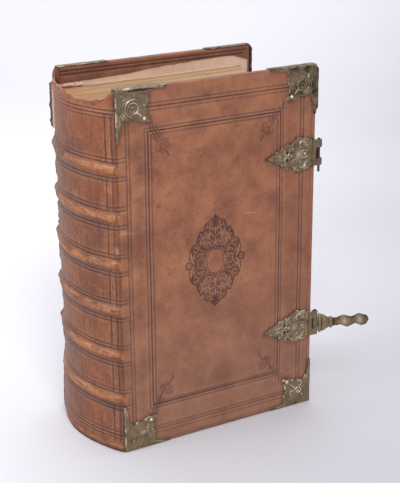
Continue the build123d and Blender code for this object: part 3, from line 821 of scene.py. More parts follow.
def cover_relief(x, z, side):
    """Rise of the outer leather, and its masks, at places from the joint line and the floor."""
    places = np.stack([x, z], axis=-1)
    solid = at(x, z, 40.0 if side == "front" else 90.0)
    wander = 0.22 * noise(solid, 40, 3)
    rise = 0.22 * noise(solid, 34, 5, 3) + 0.05 * noise(solid, 5, 9)
    tooling, soil, pale = [np.zeros_like(x) for _ in range(3)]
    skin = (rise, tooling, pale, 0.82 + 0.25 * noise(solid, 22, 13))
    for direction, place, start, end, weight in FILLETS:
        across, along = (x, z) if direction == "x" else (z, x)
        tool(skin, across - place - wander, weight, fade(along, start, end, 0.8))
    for z_line, weight in BAND_FILLETS + list(HEAD_LINES[:2]) + list(TAIL_LINES[:2]):
        tool(skin, z - z_line - wander, weight * 0.75, 1 - ramp(x, 10.0, 11.5))
    worn = np.zeros_like(x)
    for band in BANDS:
        over = bump(z - band + 0.6, BAND_HALF - 0.6) ** 0.7 * (1 - ramp(x, 3.5, 7.6))
        rise += 0.75 * over
        worn = np.maximum(worn, over * 1.4)
    # Edges are rubbed by handling, more at the head and the fore-edge
    rub = 0.5 * noise(solid, 16, 21, 3)
    worn = np.maximum(worn, (1 - ramp(width - x, 0.2, 3.4)) * (0.35 + rub))
    worn = np.maximum(worn, (1 - ramp(head_z - z, 0.2, 2.6)) * (0.12 + rub))
    soil = np.maximum(soil, 0.5 * (1 - ramp(x, 0.0, 4.0)) * (0.55 + rub))
    soil = np.maximum(soil, 0.65 * (1 - ramp(z - tail_z, 0.5, 4.5)) * (0.7 + rub))
    if side == "front":
        for start, end in MITRES:
            start, end = np.array(start), np.array(end)
            along = (end - start) / np.linalg.norm(end - start)
            across = np.array((-along[1], along[0]))
            local = places - start
            t, d = local @ along, local @ across
            share = fade(t, 0.0, np.linalg.norm(end - start), 0.8)
            for offset, weight in ((-2.6, 0.75), (0.0, 1.1), (2.6, 0.75)):
                tool(skin, d - offset, weight, share)
        depth = settings("leather").stamp_depth
        sunk, dark, bare = stamp_medallion(places)
        rise -= depth * sunk
        tooling = np.maximum(tooling, dark)
        pale = np.maximum(pale, 0.2 * bare)
        flowers = stamp_fleurons(places)
        rise -= 0.75 * depth * flowers
        tooling = np.maximum(tooling, 0.62 * flowers)
        for sx, sz, radius, strength in STAINS:
            blot = np.hypot(x - sx, z - sz) + 0.35 * radius * noise(solid, radius, 51)
            soil = np.maximum(soil, strength * (1 - ramp(blot, radius * 0.3, radius * 1.3)))
        # A dark halo round the brass: painted shadow of the proud plates, and corrosion stain
        soil = np.maximum(soil, 0.62 * (1 - ramp(from_brass(places) + 0.8 * noise(solid, 4, 57), 0.6, 3.4)))
        for start, end in SCRATCHES:
            mark = np.exp(-((near(places, [start, end]) / 0.6) ** 2))
            rise -= 0.12 * mark
            pale = np.maximum(pale, 0.45 * mark)
    return rise, leather_masks(tooling, worn, soil, pale)


EDGE_RADIUS = 1.5  # of a board's edges
TURN_IN = 20.0  # how far the leather is turned in over the inside of a board
PATCH_REACH = np.array((35.5, 50.5))  # half the size of the medallion's finer patch


def cover_point(side, x, depth, z):
    """A row-frame place from the joint line, the outer face and the floor."""
    face, inward = SIDES[side]
    return at(joint_x + np.asarray(x), face + inward * np.asarray(depth), z)


def frame_stations(side):
    """Columns and rows of a cover's outer face, close together at the tooling."""
    spans_x = [(9.6, 16.0, 0.55), (28.8, 38.6, 0.55), (172.6, 182.2, 0.55), (199.4, 206.2, 0.55),
               (212.4, 215.2, 0.55)]
    spans_z = [(2.6, 5.8, 0.6), (10.6, 21.0, 0.6), (38.4, 47.4, 0.55), (313.6, 322.8, 0.55),
               (335.6, 345.6, 0.55)]
    spans_z += [(z - 1.2, z + 1.2, 0.6) for z, _ in BAND_FILLETS]
    if side == "front":
        spans_x += [(38.6, 56.5, 0.8), (154.5, 172.6, 0.8), (140.0, 152.0, 1.2)]
        spans_z += [(47.4, 68.5, 0.8), (291.5, 313.6, 0.8), (219.6, 224.8, 0.65)]
    columns = stations(JOINT_END, width - EDGE_RADIUS, 4.5, spans_x)
    rows = stations(tail_z + EDGE_RADIUS, head_z - EDGE_RADIUS, 4.5, spans_z)
    return columns, rows


def perimeter(grid):
    """Values of a grid along its three free edges: the tail, up the fore-edge, back along the head."""
    return np.concatenate([grid[:, 0], grid[-1, 1:], grid[-2::-1, -1]])


def add_outer_face(surface, side, columns, rows):
    """The tooled face. The front one has a finer patch let in for the medallion."""
    x, z = np.meshgrid(columns, rows, indexing="ij")
    rise, masks = cover_relief(x, z, side)
    outer = surface.add(cover_point(side, x, -rise, z), **masks)
    keep = np.ones((len(columns) - 1, len(rows) - 1), bool)
    if side == "front":
        low, high = MEDALLION - PATCH_REACH, MEDALLION + PATCH_REACH
        left, right = np.searchsorted(columns, (low[0], high[0]))
        bottom, top = np.searchsorted(rows, (low[1], high[1]))
        keep[left:right, bottom:top] = False
        ends = ((columns[left], columns[right]), (rows[bottom], rows[top]))
        fine = [np.linspace(a, b, int((b - a) / 0.5))[1:-1] for a, b in ends]
        px, pz = np.meshgrid(*fine, indexing="ij")
        patch_rise, patch_masks = cover_relief(px, pz, side)
        patch = surface.add(cover_point(side, px, -patch_rise, pz), **patch_masks)
        surface.quads(patch)
        surface.stitch(outer[left:right + 1, bottom], patch[:, 0])
        surface.stitch(outer[left:right + 1, top], patch[:, -1])
        surface.stitch(outer[left, bottom:top + 1], patch[0])
        surface.stitch(outer[right, bottom:top + 1], patch[-1])
    surface.quads(outer, keep)
    return outer, perimeter(x), perimeter(z), perimeter(rise), perimeter(masks["tooling"])


def add_edge_rings(surface, side, outer, ring_x, ring_z, start_rise, start_tooling):
    """Rings of vertices round the three free edges, from the outer face to the turn-ins."""
    out_x = np.where(ring_x == ring_x.max(), 1.0, 0.0)
    out_z = np.where(ring_z == ring_z.min(), -1.0, np.where(ring_z == ring_z.max(), 1.0, 0.0))
    edge = EDGE_RADIUS
    turns = np.radians((25, 50, 75, 90))
    profile = [(edge * math.sin(t), edge * (1 - math.cos(t))) for t in turns]
    profile += [(edge, cover_depth * 0.5)]
    profile += [(edge * math.sin(t), cover_depth - edge * (1 - math.cos(t))) for t in turns[::-1]]
    rings = [perimeter(outer)]
    for reach, depth in profile:
        px, pz = ring_x + out_x * reach, ring_z + out_z * reach
        lift = start_rise * max(0.0, 1 - depth / edge)
        spot = cover_point(side, px, depth - lift, pz)
        rub = 0.45 + 0.5 * noise(spot, (18, 4, 18), 61, 3)
        spot = spot + 0.12 * noise(spot, 7, 63)[..., None]
        rings.append(surface.add(
            spot, tooling=start_tooling * max(0.0, 1 - depth), worn=np.clip(rub - 0.2, 0, 0.6),
            soil=0.6 * np.clip(0.9 - rub, 0, 1), pale=0.0))
    return rings


def add_turn_ins(surface, side, columns, rows):
    """The leather inside a board: a frame on the face's columns, with two tooled lines beside the edge.

    Returns its numbers, its window's last column and two rows, and their heights.
    """
    board_edge = width - TURN_IN
    inner_x = np.append(columns[columns < board_edge - 0.5],
                        [board_edge, width - 15, width - 10, width - 6, width - 3, columns[-1]])
    tail_rows = tail_z + np.array(
        [EDGE_RADIUS, 2.2, 3.2, 4.0, 4.8, 5.6, 6.6, 7.4, 8.2, 9.2, 12.0, 16.0, TURN_IN])
    head_rows = (head_z + tail_z - tail_rows)[::-1]
    middle_rows = rows[(rows > tail_rows[-1] + 1) & (rows < head_rows[0] - 1)]
    inner_z = np.concatenate([tail_rows, middle_rows, head_rows])
    x, z = np.meshgrid(inner_x, inner_z, indexing="ij")
    from_fore_edge = np.where(x > board_edge, width - x, 99)
    from_edge = np.minimum(np.minimum(head_z - z, z - tail_z), from_fore_edge)
    solid = at(x, z, 300.0)
    dent = 0.16 * noise(solid, 12, 71)
    dark, light = np.zeros_like(x), np.zeros_like(x)
    for place in (4.4, 7.8):
        tool((dent, dark, light, 1.0), from_edge - place, 0.9)
    grime = 0.4 + 0.5 * noise(solid, 26, 75, 3)
    inner = surface.add(cover_point(side, x, cover_depth + np.clip(dent, -0.4, 0.25), z),
                        tooling=np.clip(dark + 0.28, 0, 1), worn=np.clip(grime * 0.3 - 0.12, 0, 0.4),
                        soil=np.clip(0.66 - grime, 0.05, 0.4), pale=0.5 * light)
    last, low, high = len(inner_x) - 6, len(tail_rows) - 1, len(inner_z) - len(head_rows)
    keep = np.ones((len(inner_x) - 1, len(inner_z) - 1), bool)
    keep[:last, low:high] = False
    surface.quads(inner, keep)
    return inner, last, low, high, inner_z[low], inner_z[high]


def add_board_hollow(surface, side, outer, rings, inner, window_place):
    """The hollow that holds the board, open to the inside, and the leather's end along the joint."""
    last, low, high, low_z, high_z = window_place
    skin, turned = board_low[1] - cover_low[1], cover_high[1] - board_high[1]
    far, board_edge = board_high[0] - joint_x, width - TURN_IN

    def rectangle(far_x, depth, bottom_z, top_z):
        corners = [JOINT_END, far_x, far_x, JOINT_END], depth, [bottom_z, bottom_z, top_z, top_z]
        return surface.add(cover_point(side, *corners))

    floor = rectangle(far, skin, board_low[2], board_high[2])
    lid = rectangle(far, cover_depth - turned, board_low[2], board_high[2])
    window = rectangle(board_edge, cover_depth - turned, low_z, high_z)
    surface.polygon(floor)
    for a, b in ((0, 1), (1, 2), (2, 3)):
        surface.polygon([floor[a], floor[b], lid[b], lid[a]])
        surface.polygon([lid[a], lid[b], window[b], window[a]])
    surface.polygon([*inner[:last + 1, low], window[1], window[0]])
    surface.polygon([*inner[last, low:high + 1], window[2], window[1]])
    surface.polygon([*inner[:last + 1, high], window[2], window[3]])
    joint_side = [*outer[0]] + [ring[-1] for ring in rings[1:]] + [*inner[0, high:][::-1]]
    joint_side += [window[3], lid[3], floor[3], floor[0], lid[0], window[0]]
    joint_side += [*inner[0, :low + 1][::-1]]
    joint_side += [ring[0] for ring in rings[:0:-1]]
    surface.polygon(surface.add(np.vstack(surface.points)[joint_side], soil=0.9, tooling=0.4))


def build_cover_leather(side):
    """The leather of one board: tooled outer face, rounded edges and turn-ins, closed round the board."""
    columns, rows = frame_stations(side)
    surface = Surface(*LEATHER_MASKS)
    outer, *start = add_outer_face(surface, side, columns, rows)
    rings = add_edge_rings(surface, side, outer, *start)
    inner, *window_place = add_turn_ins(surface, side, columns, rows)
    for one, other in zip(rings[:-1], rings[1:]):
        surface.quads(np.stack([one, other]))
    # The last ring meets the turn-ins' own edge, between the joint and the two corners in turn
    ends = [(0, m - 1, m + n - 2, 2 * m + n - 3) for m, n in (outer.shape, inner.shape)]
    for a, b, c, d in zip(ends[0], ends[0][1:], ends[1], ends[1][1:]):
        surface.stitch(rings[-1][a:b + 1], perimeter(inner)[c:d + 1])
    add_board_hollow(surface, side, outer, rings, inner, window_place)
    piece = surface.build(side + "_cover_leather", bpy.data.materials["cover_leather"])
    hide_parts(side + "_leather")
    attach(piece, side + "_cover")


# ---------------------------------------------------------------- spine and joints
# Torn head edge of the spine: share of the way across from the front, depth below the top
TORN_HEAD = (
    (0.0, 2.2), (0.03, 4.2), (0.07, 7.4), (0.1, 9.5), (0.18, 12.0), (0.3, 12.8), (0.4, 12.2), (0.5, 9.6),
    (0.62, 8.4), (0.75, 8.0), (0.85, 8.6), (0.92, 11.0), (0.97, 14.0), (1.0, 15.5),
)


def torn_head(share):
    """Height of the torn head edge, at a share of the way across the spine from the front."""
    return total_height - np.interp(share, *zip(*TORN_HEAD))


BENT_ABOVE, BENT_BELOW = 338, 5  # heights past which the spine's rows bend to its torn ends


def spine_heights(z, share, seed):
    """Rows bent so that the top one follows the tear and the bottom one the worn foot."""
    solid = at(share * thickness, z, 0.0)
    top = torn_head(share) + 0.55 * noise(solid * (1, 0, 0), 5.5, seed, 3)
    foot = 0.9 + 0.35 * noise(solid * (1, 0, 0), 9, seed + 4, 2)
    high, low = BENT_ABOVE, BENT_BELOW
    z = np.where(z > high, high + (z - high) * (top - high) / (head_z - high), z)
    return np.where(z < low, foot + (z - tail_z) * (low - foot) / (low - tail_z), z)


def spine_relief(share, z, at_joint):
    """Rise of the spine leather, and its masks. at_joint is 0 on the spine and 1 where the cover begins."""
    y = share * thickness
    solid = at(y, z, 500.0)
    rise = 0.28 * noise(solid, 30, 81, 3) + 0.16 * noise(solid * (1, 0.16, 1), 5, 83, 2)
    uneven = 0.75 + 0.3 * noise(solid, 14, 85, 2)
    wander = 0.3 * noise(solid, 26, 87)
    tooling, worn, pale, soil = [np.zeros_like(z) for _ in range(4)]
    skin = (rise, tooling, pale, uneven)
    front_half = 1 - ramp(share, 0.35, 0.8)
    for index, band in enumerate(BANDS):
        off = z - band - wander
        top = bump(off, BAND_HALF) ** BAND_WIDTH_POWER
        rise += BAND_RISE * (1 - 0.78 * at_joint) * top * (0.94 + 0.08 * noise(solid, 9, 91))
        rub = 0.68 + 1.0 * noise(solid, (13, 3.4, 9), 93 + index, 4)
        worn = np.maximum(worn, bump(off - 1.2, 5.2) * np.clip(rub, 0, 1) * (0.55 + 0.85 * front_half))
        worn = np.maximum(worn, 1.3 * bump(off, 5.4) * at_joint)
        # A painted highlight along the crest of each band
        crest_highlight = np.clip(0.2 + 1.2 * noise(solid, (9, 3, 5), 121 + index, 3), 0, 1)
        np.maximum(pale, 0.36 * bump(off - 3.6, 1.5) * crest_highlight, out=pale)
        # Painted shade below each band, with dirt
        soil = np.maximum(soil, 0.42 * bump(off + 8.6, 5.0) * (1 - at_joint))
    for z_line, weight in BAND_FILLETS + list(TAIL_LINES):
        tool(skin, z - z_line - wander, weight)
    for z_line, weight in HEAD_LINES:
        faded = 0.35 + 0.65 * ramp(0.65 - share, 0.0, 0.3)
        tool(skin, z - z_line - wander + 1.5 * (share - 0.2), weight, faded)
    # Upright pairs beside the joints, between the bands
    clear = np.min([np.abs(z - band) for band in BANDS], axis=0)
    for place, weight in ((8.8, 1.1), (2.6, 0.9), (thickness - 2.6, 0.8), (thickness - 8.8, 0.9)):
        tool(skin, y - place - wander, weight, ramp(clear, 6.0, 7.0) * fade(z, 12, 336))
    rub = 0.35 + 0.9 * noise(solid, (3, 3, 8), 97, 3)
    panel = ramp(clear, 4.5, 7.0)
    worn = np.maximum(worn, bump(np.minimum(y, thickness - y) - 5.4, 2.2) * np.clip(rub, 0, 1) * panel)
    flaked = 0.1 + 1.1 * noise(solid, (4.5, 3, 9), 115, 3)
    worn = np.maximum(worn, 0.62 * bump(y - 9.5, 9.0) * np.clip(flaked, 0, 1) * panel)
    # Torn head, with the ochre inside of the skin below it, and the foot that it stands on
    below_tear = torn_head(share) - z
    ragged = 0.5 + 0.9 * noise(solid, 7, 101, 3)
    front_corner = 1 - ramp(share, 0.1, 0.42)
    bare = 1 - ramp(below_tear, 3.0 + 7 * front_corner, 9.0 + 9 * front_corner)
    worn = np.maximum(worn, bare * np.clip(ragged + 0.2, 0, 0.85))
    rise += 0.5 * (1 - ramp(below_tear, 0, 7)) * ragged
    worn = np.maximum(worn, 0.75 * fade(z, 5.2, 7.6, 1.2) * np.clip(ragged, 0, 1))
    rise += 0.6 * fade(z, 4.0, 8.4, 2.0)
    tooling = np.maximum(tooling, 0.7 * fade(z, 1.6, 3.2, 1.2))
    pale = np.maximum(pale, 0.6 * np.clip(1 - below_tear / 1.3, 0, 1) * np.clip(ragged, 0, 1))
    pale = np.maximum(pale, 0.55 * bump(z - 209, 7) * (1 - ramp(share, 0.0, 0.045)))
    soil = np.maximum(soil, 1.0 * bump(z - 48, 7) * (1 - ramp(share, 0.08, 0.26)))
    soil = np.maximum(soil, 0.55 * bump(z - 349, 12) * (1 - ramp(share, 0.01, 0.07)))
    soil = np.maximum(soil, 0.3 * ramp(noise(solid, 22, 103, 3), 0.1, 0.8))
    # The cap has broken away over the leaves and left a dark, crumpled edge
    crumpled = (1 - ramp(below_tear, 1.0, 8.0)) * fade(share, 0.12, 0.7, 0.12)
    soil = np.maximum(soil, 0.75 * crumpled * np.clip(0.35 + 1.4 * noise(solid, (6, 3, 2.4), 111, 3), 0, 1))
    rise += 0.5 * crumpled * noise(solid, (7, 3, 2.6), 113, 3)
    # The back joint has split: its lips stand up, raw and pale
    along = solid * (0, 1, 0)
    torn = np.clip(0.5 + 0.75 * noise(along, 13, 107, 2) + 0.35 * noise(along, 3.4, 109, 2), 0, 1)
    torn_wide = fade(z, 303, 341, 4)
    torn = np.maximum(torn, 0.8 * torn_wide)
    reach = 2.0 + 3.4 * fade(z, 302, 343, 3)
    split = ramp(share, 0.895, 0.955)
    rise += split * torn * reach
    raw = 0.08 + 0.72 * torn_wide
    pale = np.maximum(pale, raw * fade(share, 0.896, 0.918, 0.01) * ramp(torn * reach, 0.7, 1.8))
    # The far side of the split lips is painted dark as their shade
    soil = np.maximum(soil, 0.85 * ramp(share + 0.01 * torn, 0.928, 0.946))
    pale = pale * (1 - ramp(share, 0.922, 0.938))
    # The foot of the spine spreads a little
    rise += 2.3 * (1 - ramp(z, 14, 74)) * ramp(share, 0.12, 0.6)
    return rise, leather_masks(tooling, worn, soil, pale)


def spine_rows():
    """Heights of the spine's rows, close together at the bands and the torn ends."""
    spans = [(tail_z, 25.0, 0.75), (330.0, head_z, 0.75)]
    spans += [(band - 12.4, band + 12.4, 0.72) for band in BANDS]
    return stations(tail_z, head_z, 2.6, spans)


def spine_place(share, rise, z):
    """A place on the spine's arc, raised outwards."""
    y = share * thickness
    side = (y - thickness / 2) / spine_radius
    back = np.sqrt(1 - side**2)
    radius = spine_radius + rise
    return at(spine_x - radius * back, middle_y + radius * side, z)


def build_spine_leather():
    """The leather over the spine, raised on its cords, from joint to joint."""
    rows = spine_rows()
    end = thickness - SPINE_START
    spans = [(SPINE_START, 12.5, 0.65), (thickness - 12.5, end, 0.7)]
    shares = stations(SPINE_START, end, 1.35, spans) / thickness
    share, z = np.meshgrid(shares, rows, indexing="ij")
    heights = spine_heights(z, share, 41)
    rise, masks = spine_relief(share, heights, np.zeros_like(share))
    surface = Surface(*LEATHER_MASKS)
    outer = surface.add(spine_place(share, rise, heights), **masks)
    some_x, some_z = thinned(len(shares), 4), thinned(len(rows), 4)
    share_in, heights_in = share[np.ix_(some_x, some_z)], heights[np.ix_(some_x, some_z)]
    band_top = np.max([bump(heights_in - band, BAND_HALF) for band in BANDS], axis=0)
    inner = surface.add(spine_place(share_in, BAND_RISE * 0.95 * band_top - 1.2, heights_in),
                        worn=0.6, pale=0.35)
    sheet_faces(surface, outer, inner)
    piece = surface.build("spine_skin", bpy.data.materials["spine_leather"])
    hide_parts("spine_leather")
    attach(piece, "block")


def joint_path(count):
    """Section of the leather at a joint, from cover to spine: places, outward directions and shares."""
    side = (SPINE_START - thickness / 2) / spine_radius
    back = math.sqrt(1 - side**2)
    end = np.array((spine_x - joint_x - spine_radius * back, SPINE_START))
    tangent = np.array((side, back))
    reach = 2.5
    handles = [np.array((JOINT_END, 0.0)), np.array((JOINT_END - reach, 0.0)), end - reach * tangent, end]
    t = np.linspace(0, 1, count)[:, None]
    places = (handles[0] * (1 - t) ** 3 + 3 * handles[1] * t * (1 - t) ** 2
              + 3 * handles[2] * t**2 * (1 - t) + handles[3] * t**3)
    along = np.gradient(places, axis=0)
    along /= np.linalg.norm(along, axis=1)[:, None]
    normal = np.stack([-along[:, 1], along[:, 0]], axis=1)
    normal *= np.where(normal[:, 1:] > 0, -1.0, 1.0)
    return places, normal, t[:, 0]


def build_joint_leather(side):
    """The strip of leather at a joint, where the real book bends as a cover opens."""
    face, inward = SIDES[side]
    places, normal, t = joint_path(15)
    rows = spine_rows()
    t_grid, z = np.meshgrid(t, rows, indexing="ij")
    y = np.clip(places[:, 1], 0, None)[:, None] + 0 * z
    share = y / thickness if side == "front" else 1 - y / thickness
    heights = np.where(t_grid > 0, spine_heights(z, share, 41), z)
    keep_top = 1 - ramp(t_grid, 0.15, 0.8)
    heights = heights * (1 - keep_top) + z * keep_top
    at_joint = 1 - ramp(t_grid, 0.1, 1.0)
    rise, masks = spine_relief(share, heights, at_joint)
    on_cover, cover_masks = cover_relief(JOINT_END + 0 * z, heights, side)
    mix = 1 - ramp(t_grid, 0.0, 0.55)
    rise = rise * (1 - mix) + on_cover * mix
    masks = {k: masks[k] * (1 - mix) + cover_masks[k] * mix for k in masks}
    # Painted shade in the crease of the joint
    crease_shade = np.exp(-(((t_grid - 0.42) / 0.16) ** 2))
    masks["soil"] = np.clip(masks["soil"] + 0.45 * crease_shade, 0, 1)
    surface = Surface(*LEATHER_MASKS)

    def put(rows_of, lift):
        x = joint_x + places[rows_of, 0][:, None] + normal[rows_of, 0][:, None] * lift
        depth = places[rows_of, 1][:, None] + normal[rows_of, 1][:, None] * lift
        return np.stack([x, face + inward * depth], axis=-1)

    everything = np.arange(len(t))
    outer = surface.add(np.concatenate([put(everything, rise), heights[..., None]], axis=-1), **masks)
    some_t, some_z = thinned(len(t), 3), thinned(len(rows), 4)
    inner_heights = heights[np.ix_(some_t, some_z)]
    flat = np.full(inner_heights.shape, -1.0)
    away = ramp(t[some_t], 0.2, 0.9)[:, None] + 0 * flat
    inner = surface.add(np.concatenate([put(some_t, flat), inner_heights[..., None]], axis=-1),
                        worn=0.6 * away, pale=0.3 * away, soil=0.35 * (1 - away))
    sheet_faces(surface, outer, inner)
    piece = surface.build(side + "_joint_skin", bpy.data.materials["spine_leather"])
    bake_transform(piece)


# ---------------------------------------------------------------- leaves, pastedowns, endbands
LEAF_ROWS = 240
FORE_HOLLOW = 16.0  # how deep the fore-edge of the leaves is hollowed


def build_leaves():
    """The text block: leaf edges as fine steps, a hollow fore-edge and a rounded back."""
    low_y, high_y = leaves_low[1], leaves_high[1]
    half = (high_y - low_y) / 2
    count = LEAF_ROWS
    ys = np.linspace(low_y, high_y, count)
    back_x = spine_x - np.sqrt((spine_radius - 1.8) ** 2 - (ys - middle_y) ** 2)
    radius = (half**2 + FORE_HOLLOW**2) / (2 * FORE_HOLLOW)
    sweep = np.sqrt(np.maximum(radius**2 - (ys - middle_y) ** 2, 0))
    fore = leaves_high[0] - (sweep - (radius - FORE_HOLLOW))
    line = at(np.arange(count), 0.0, 0.0)
    step = 0.16 * noise(line, 1.7, 201, 2) + 0.3 * noise(line, 13, 203, 2)
    leaf_step = 0.22 * noise(line + 50, 1.6, 205, 2) + 0.45 * noise(line + 50, 15, 207, 2)
    surface = Surface("dust", "pale", "page")
    lengths = []
    tail, head = leaves_low[2], leaves_high[2]
    for part, number in (("head", 26), ("fore", 34), ("tail", 26), ("back", 10)):
        lengths += [(part, k / number) for k in range(number)]
    ring = np.zeros((len(lengths), count, 3))
    dust, pale = np.zeros((len(lengths), count)), np.zeros((len(lengths), count))
    last_leaves = ramp(ys, high_y - 2.2, high_y - 0.9)
    end_x = fore + leaf_step
    top = head - 0.55 + np.clip(step, -0.5, 0.5) + 0.45 * last_leaves
    bottom = tail + 0.3 + np.clip(step, -0.3, 0.3)
    for index, (part, t) in enumerate(lengths):
        if part == "head":
            x, z = back_x + (end_x - back_x) * t, top
        elif part == "fore":
            x, z = end_x, top + (bottom - top) * t
        elif part == "tail":
            x, z = end_x + (back_x - end_x) * t, bottom
        else:
            x, z = back_x, bottom + (top - bottom) * t
        spot = at(x, ys, z)
        wave = 0.12 * noise(spot, (30, 3, 30), 211, 2)
        spot[:, 2] += wave if part in ("head", "tail") else 0
        spot[:, 0] += 1.6 * wave if part == "fore" else 0
        ring[index] = spot
        if part == "head":
            near_spine = 1 - ramp(x - joint_x, 2, 38)
            dust[index] = np.clip(near_spine * (0.6 + 0.6 * noise(spot, (16, 8, 9), 213, 3)), 0, 0.75)
            pale[index] = last_leaves * ramp(x - joint_x, 20, 45)
    number = surface.add(ring, dust=dust, pale=pale)
    surface.quads(number, closed=True)
    for end in (0, -1):
        face = surface.add(ring[:, end], dust=0.0, pale=0.0, page=1.0)
        surface.polygon(face)
    piece = surface.build("leaves", leaves_material(), smooth=50)
    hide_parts("text_block")
    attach(piece, "block")


# Head edge of a pastedown: distance from the joint line, height above the board's paper
PASTEDOWN_HEAD = (
    (0, -7.4), (11, -7.0), (45, -6.6), (80, -5.0), (113, -2.6), (148, -1.4), (184, -0.4), (198, -0.9),
    (208, -4.0), (215, -7.0),
)
SHEET_WIDTH, SHEET_HEIGHT = 200, 300  # of a pastedown, near enough for its ragged rim


def build_pastedown(side, material):
    """The sheet pasted inside a board: slightly cockled, ragged and worn at its head corner."""
    low, high = node_box(side + "_pastedown")
    across, down = 60, 80
    left, right = low[0] - joint_x, high[0] - joint_x
    bottom, top = low[2], high[2]
    u, v = np.meshgrid(np.linspace(0, 1, across), np.linspace(0, 1, down), indexing="ij")
    u, v = 0.5 - 0.5 * np.cos(np.pi * u), 0.5 - 0.5 * np.cos(np.pi * v)
    x = left + (right - left) * u
    head = np.interp(x, *zip(*PASTEDOWN_HEAD)) + top
    z = bottom + (head - bottom) * v
    solid = at(x, z, 700.0 if side == "front" else 800.0)
    rim = np.minimum.reduce([(1 - u) * SHEET_WIDTH, v * SHEET_HEIGHT, (1 - v) * SHEET_HEIGHT])
    ragged = 1 - ramp(rim, 0, 3)
    z = z + ragged * 0.5 * noise(solid, 3.0, 221, 3)
    x = x + ragged * 0.4 * noise(solid, 3.0, 223, 3) * (u > 0.5)
    depth = cover_depth + 0.12 + 0.1 * noise(solid, 24, 225)
    sheet = cover_depth + 0.38 + 0.08 * noise(solid, 24, 225) + 0.06 * noise(solid, 5, 227)
    surface = Surface("edge")
    outer = surface.add(cover_point(side, x, sheet, z), edge=ragged)
    some_u, some_v = thinned(across, 3), thinned(down, 3)
    inner = surface.add(cover_point(side, *[a[np.ix_(some_u, some_v)] for a in (x, depth, z)]), edge=0.5)
    sheet_faces(surface, outer, inner)
    piece = surface.build(side + "_endpaper", material)
    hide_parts(side + "_pastedown")
    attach(piece, side + "_cover")


THREAD_PITCH = 0.62


def build_endband(name, places, radius, material, ragged=0.0):
    """A core wound with thread in stripes, along a line of places."""
    places = np.asarray(places, float)
    along = np.gradient(places, axis=0)
    along /= np.linalg.norm(along, axis=1)[:, None]
    up = np.array((0.0, 0.0, 1.0))
    side = np.cross(along, up)
    around = np.linspace(0, 2 * np.pi, 20, endpoint=False)
    distance = np.concatenate([[0], np.cumsum(np.linalg.norm(np.diff(places, axis=0), axis=1))])
    a, d = np.meshgrid(around, distance, indexing="ij")
    turns = d / THREAD_PITCH + a / (2 * np.pi)
    ridge = 0.09 * np.cos(2 * np.pi * turns)
    coloured = (turns // 4 + (turns > 11)) % 2 == 0
    stripe = coloured * np.clip(0.55 + 0.8 * noise(at(d, a, 0.0), 3.0, 233, 2), 0, 1)
    size = radius * (0.9 + 0.06 * noise(at(d, a * 2, 0.0), 5, 231)) + ridge
    if ragged:
        size = size * (1 - ragged * ramp(np.abs(d / distance[-1] - 0.5), 0.25, 0.5))
    outwards = np.cos(a)[..., None] * side[None] + np.sin(a)[..., None] * up
    grid = places[None] + size[..., None] * outwards
    surface = Surface("stripe")
    number = surface.add(grid, stripe=stripe)
    surface.quads(number, closed=True)
    surface.polygon(number[:, 0])
    surface.polygon(number[::-1, -1])
    piece = surface.build(name + "_threads", material)
    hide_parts(name)
    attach(piece, "block")


def build_endbands():
    """The head's, wavy and ragged at its ends, and the tail's, along the rounded back of the leaves."""
    coloured = tuple(settings("paper").silk)
    silk = thread_material("endband_silk", (0.78, 0.6, 0.5), (0.5, 0.33, 0.24), coloured=coloured)
    low, high = node_box("head_endband")
    x = np.linspace(low[0], high[0], 60)
    y = (low[1] + high[1]) / 2 + 0.5 * np.sin((x - low[0]) / 5.0)
    z = (low[2] + high[2]) / 2 + 0.3 * np.sin((x - low[0]) / 3.4)
    build_endband("head_endband", at(x, y, z), (high[2] - low[2]) / 2, silk, ragged=0.3)
    low, high = node_box("tail_endband")
    half = (high[1] - low[1]) / 2
    radius = spine_x - low[0] - 1.9
    angles = np.linspace(-1, 1, 220) * math.asin(half / radius) * 0.985
    x, y = spine_x - radius * np.cos(angles), middle_y + radius * np.sin(angles)
    ring = at(x, y, (low[2] + high[2]) / 2)
    build_endband("tail_endband", ring, (high[2] - low[2]) / 2, silk)


# ---------------------------------------------------------------- brass sheet
def plate_mesh(surface, outline, spacing, relief, fold, base=0.0):
    """A sheet cut to an outline, with relief on top. fold turns (u, v, lift) into row-frame places."""
    outline = np.asarray(outline, float)
    border = []
    for a, b in zip(outline, np.roll(outline, -1, axis=0)):
        pieces = max(1, int(round(np.linalg.norm(b - a) / (spacing * 0.9))))
        border += [a + (b - a) * k / pieces for k in range(pieces)]
    border = np.array(border)
    low, high = border.min(axis=0), border.max(axis=0)
    spots = [np.arange(a, b, spacing) for a, b in zip(low, high)]
    u, v = np.meshgrid(*spots, indexing="ij")
    u = u + np.where(np.arange(u.shape[1]) % 2, spacing / 2, 0.0)
    fill = np.stack([u, v], axis=-1).reshape(-1, 2)
    fill = fill[depth_inside(fill, border) > spacing * 0.55]
    points = np.vstack([border, fill])
    rim = list(range(len(border)))
    edges = [(i, (i + 1) % len(border)) for i in rim]
    result = delaunay_2d_cdt([Vector(p) for p in points], edges, [], 1, 1e-5)
    flat = np.array([tuple(p) for p in result[0]])
    source = result[3]
    inner_edge = depth_inside(flat, border)
    lift, masks = relief(flat, inner_edge)
    top = surface.add(fold(flat[:, 0], flat[:, 1], lift), **masks)
    for face in result[2]:
        surface.faces.append([int(top[i]) for i in face])
    place_of = {}
    for index, sources in enumerate(source):
        for origin in sources:
            place_of.setdefault(origin, index)
    loop = [place_of[i] for i in rim]
    under = surface.add(fold(flat[:, 0], flat[:, 1], np.full(len(flat), base)), high=0.1)
    for face in result[2]:
        surface.faces.append([int(under[i]) for i in reversed(face)])
    for a, b in zip(loop, loop[1:] + loop[:1]):
        surface.polygon([top[a], under[a], under[b], top[b]])


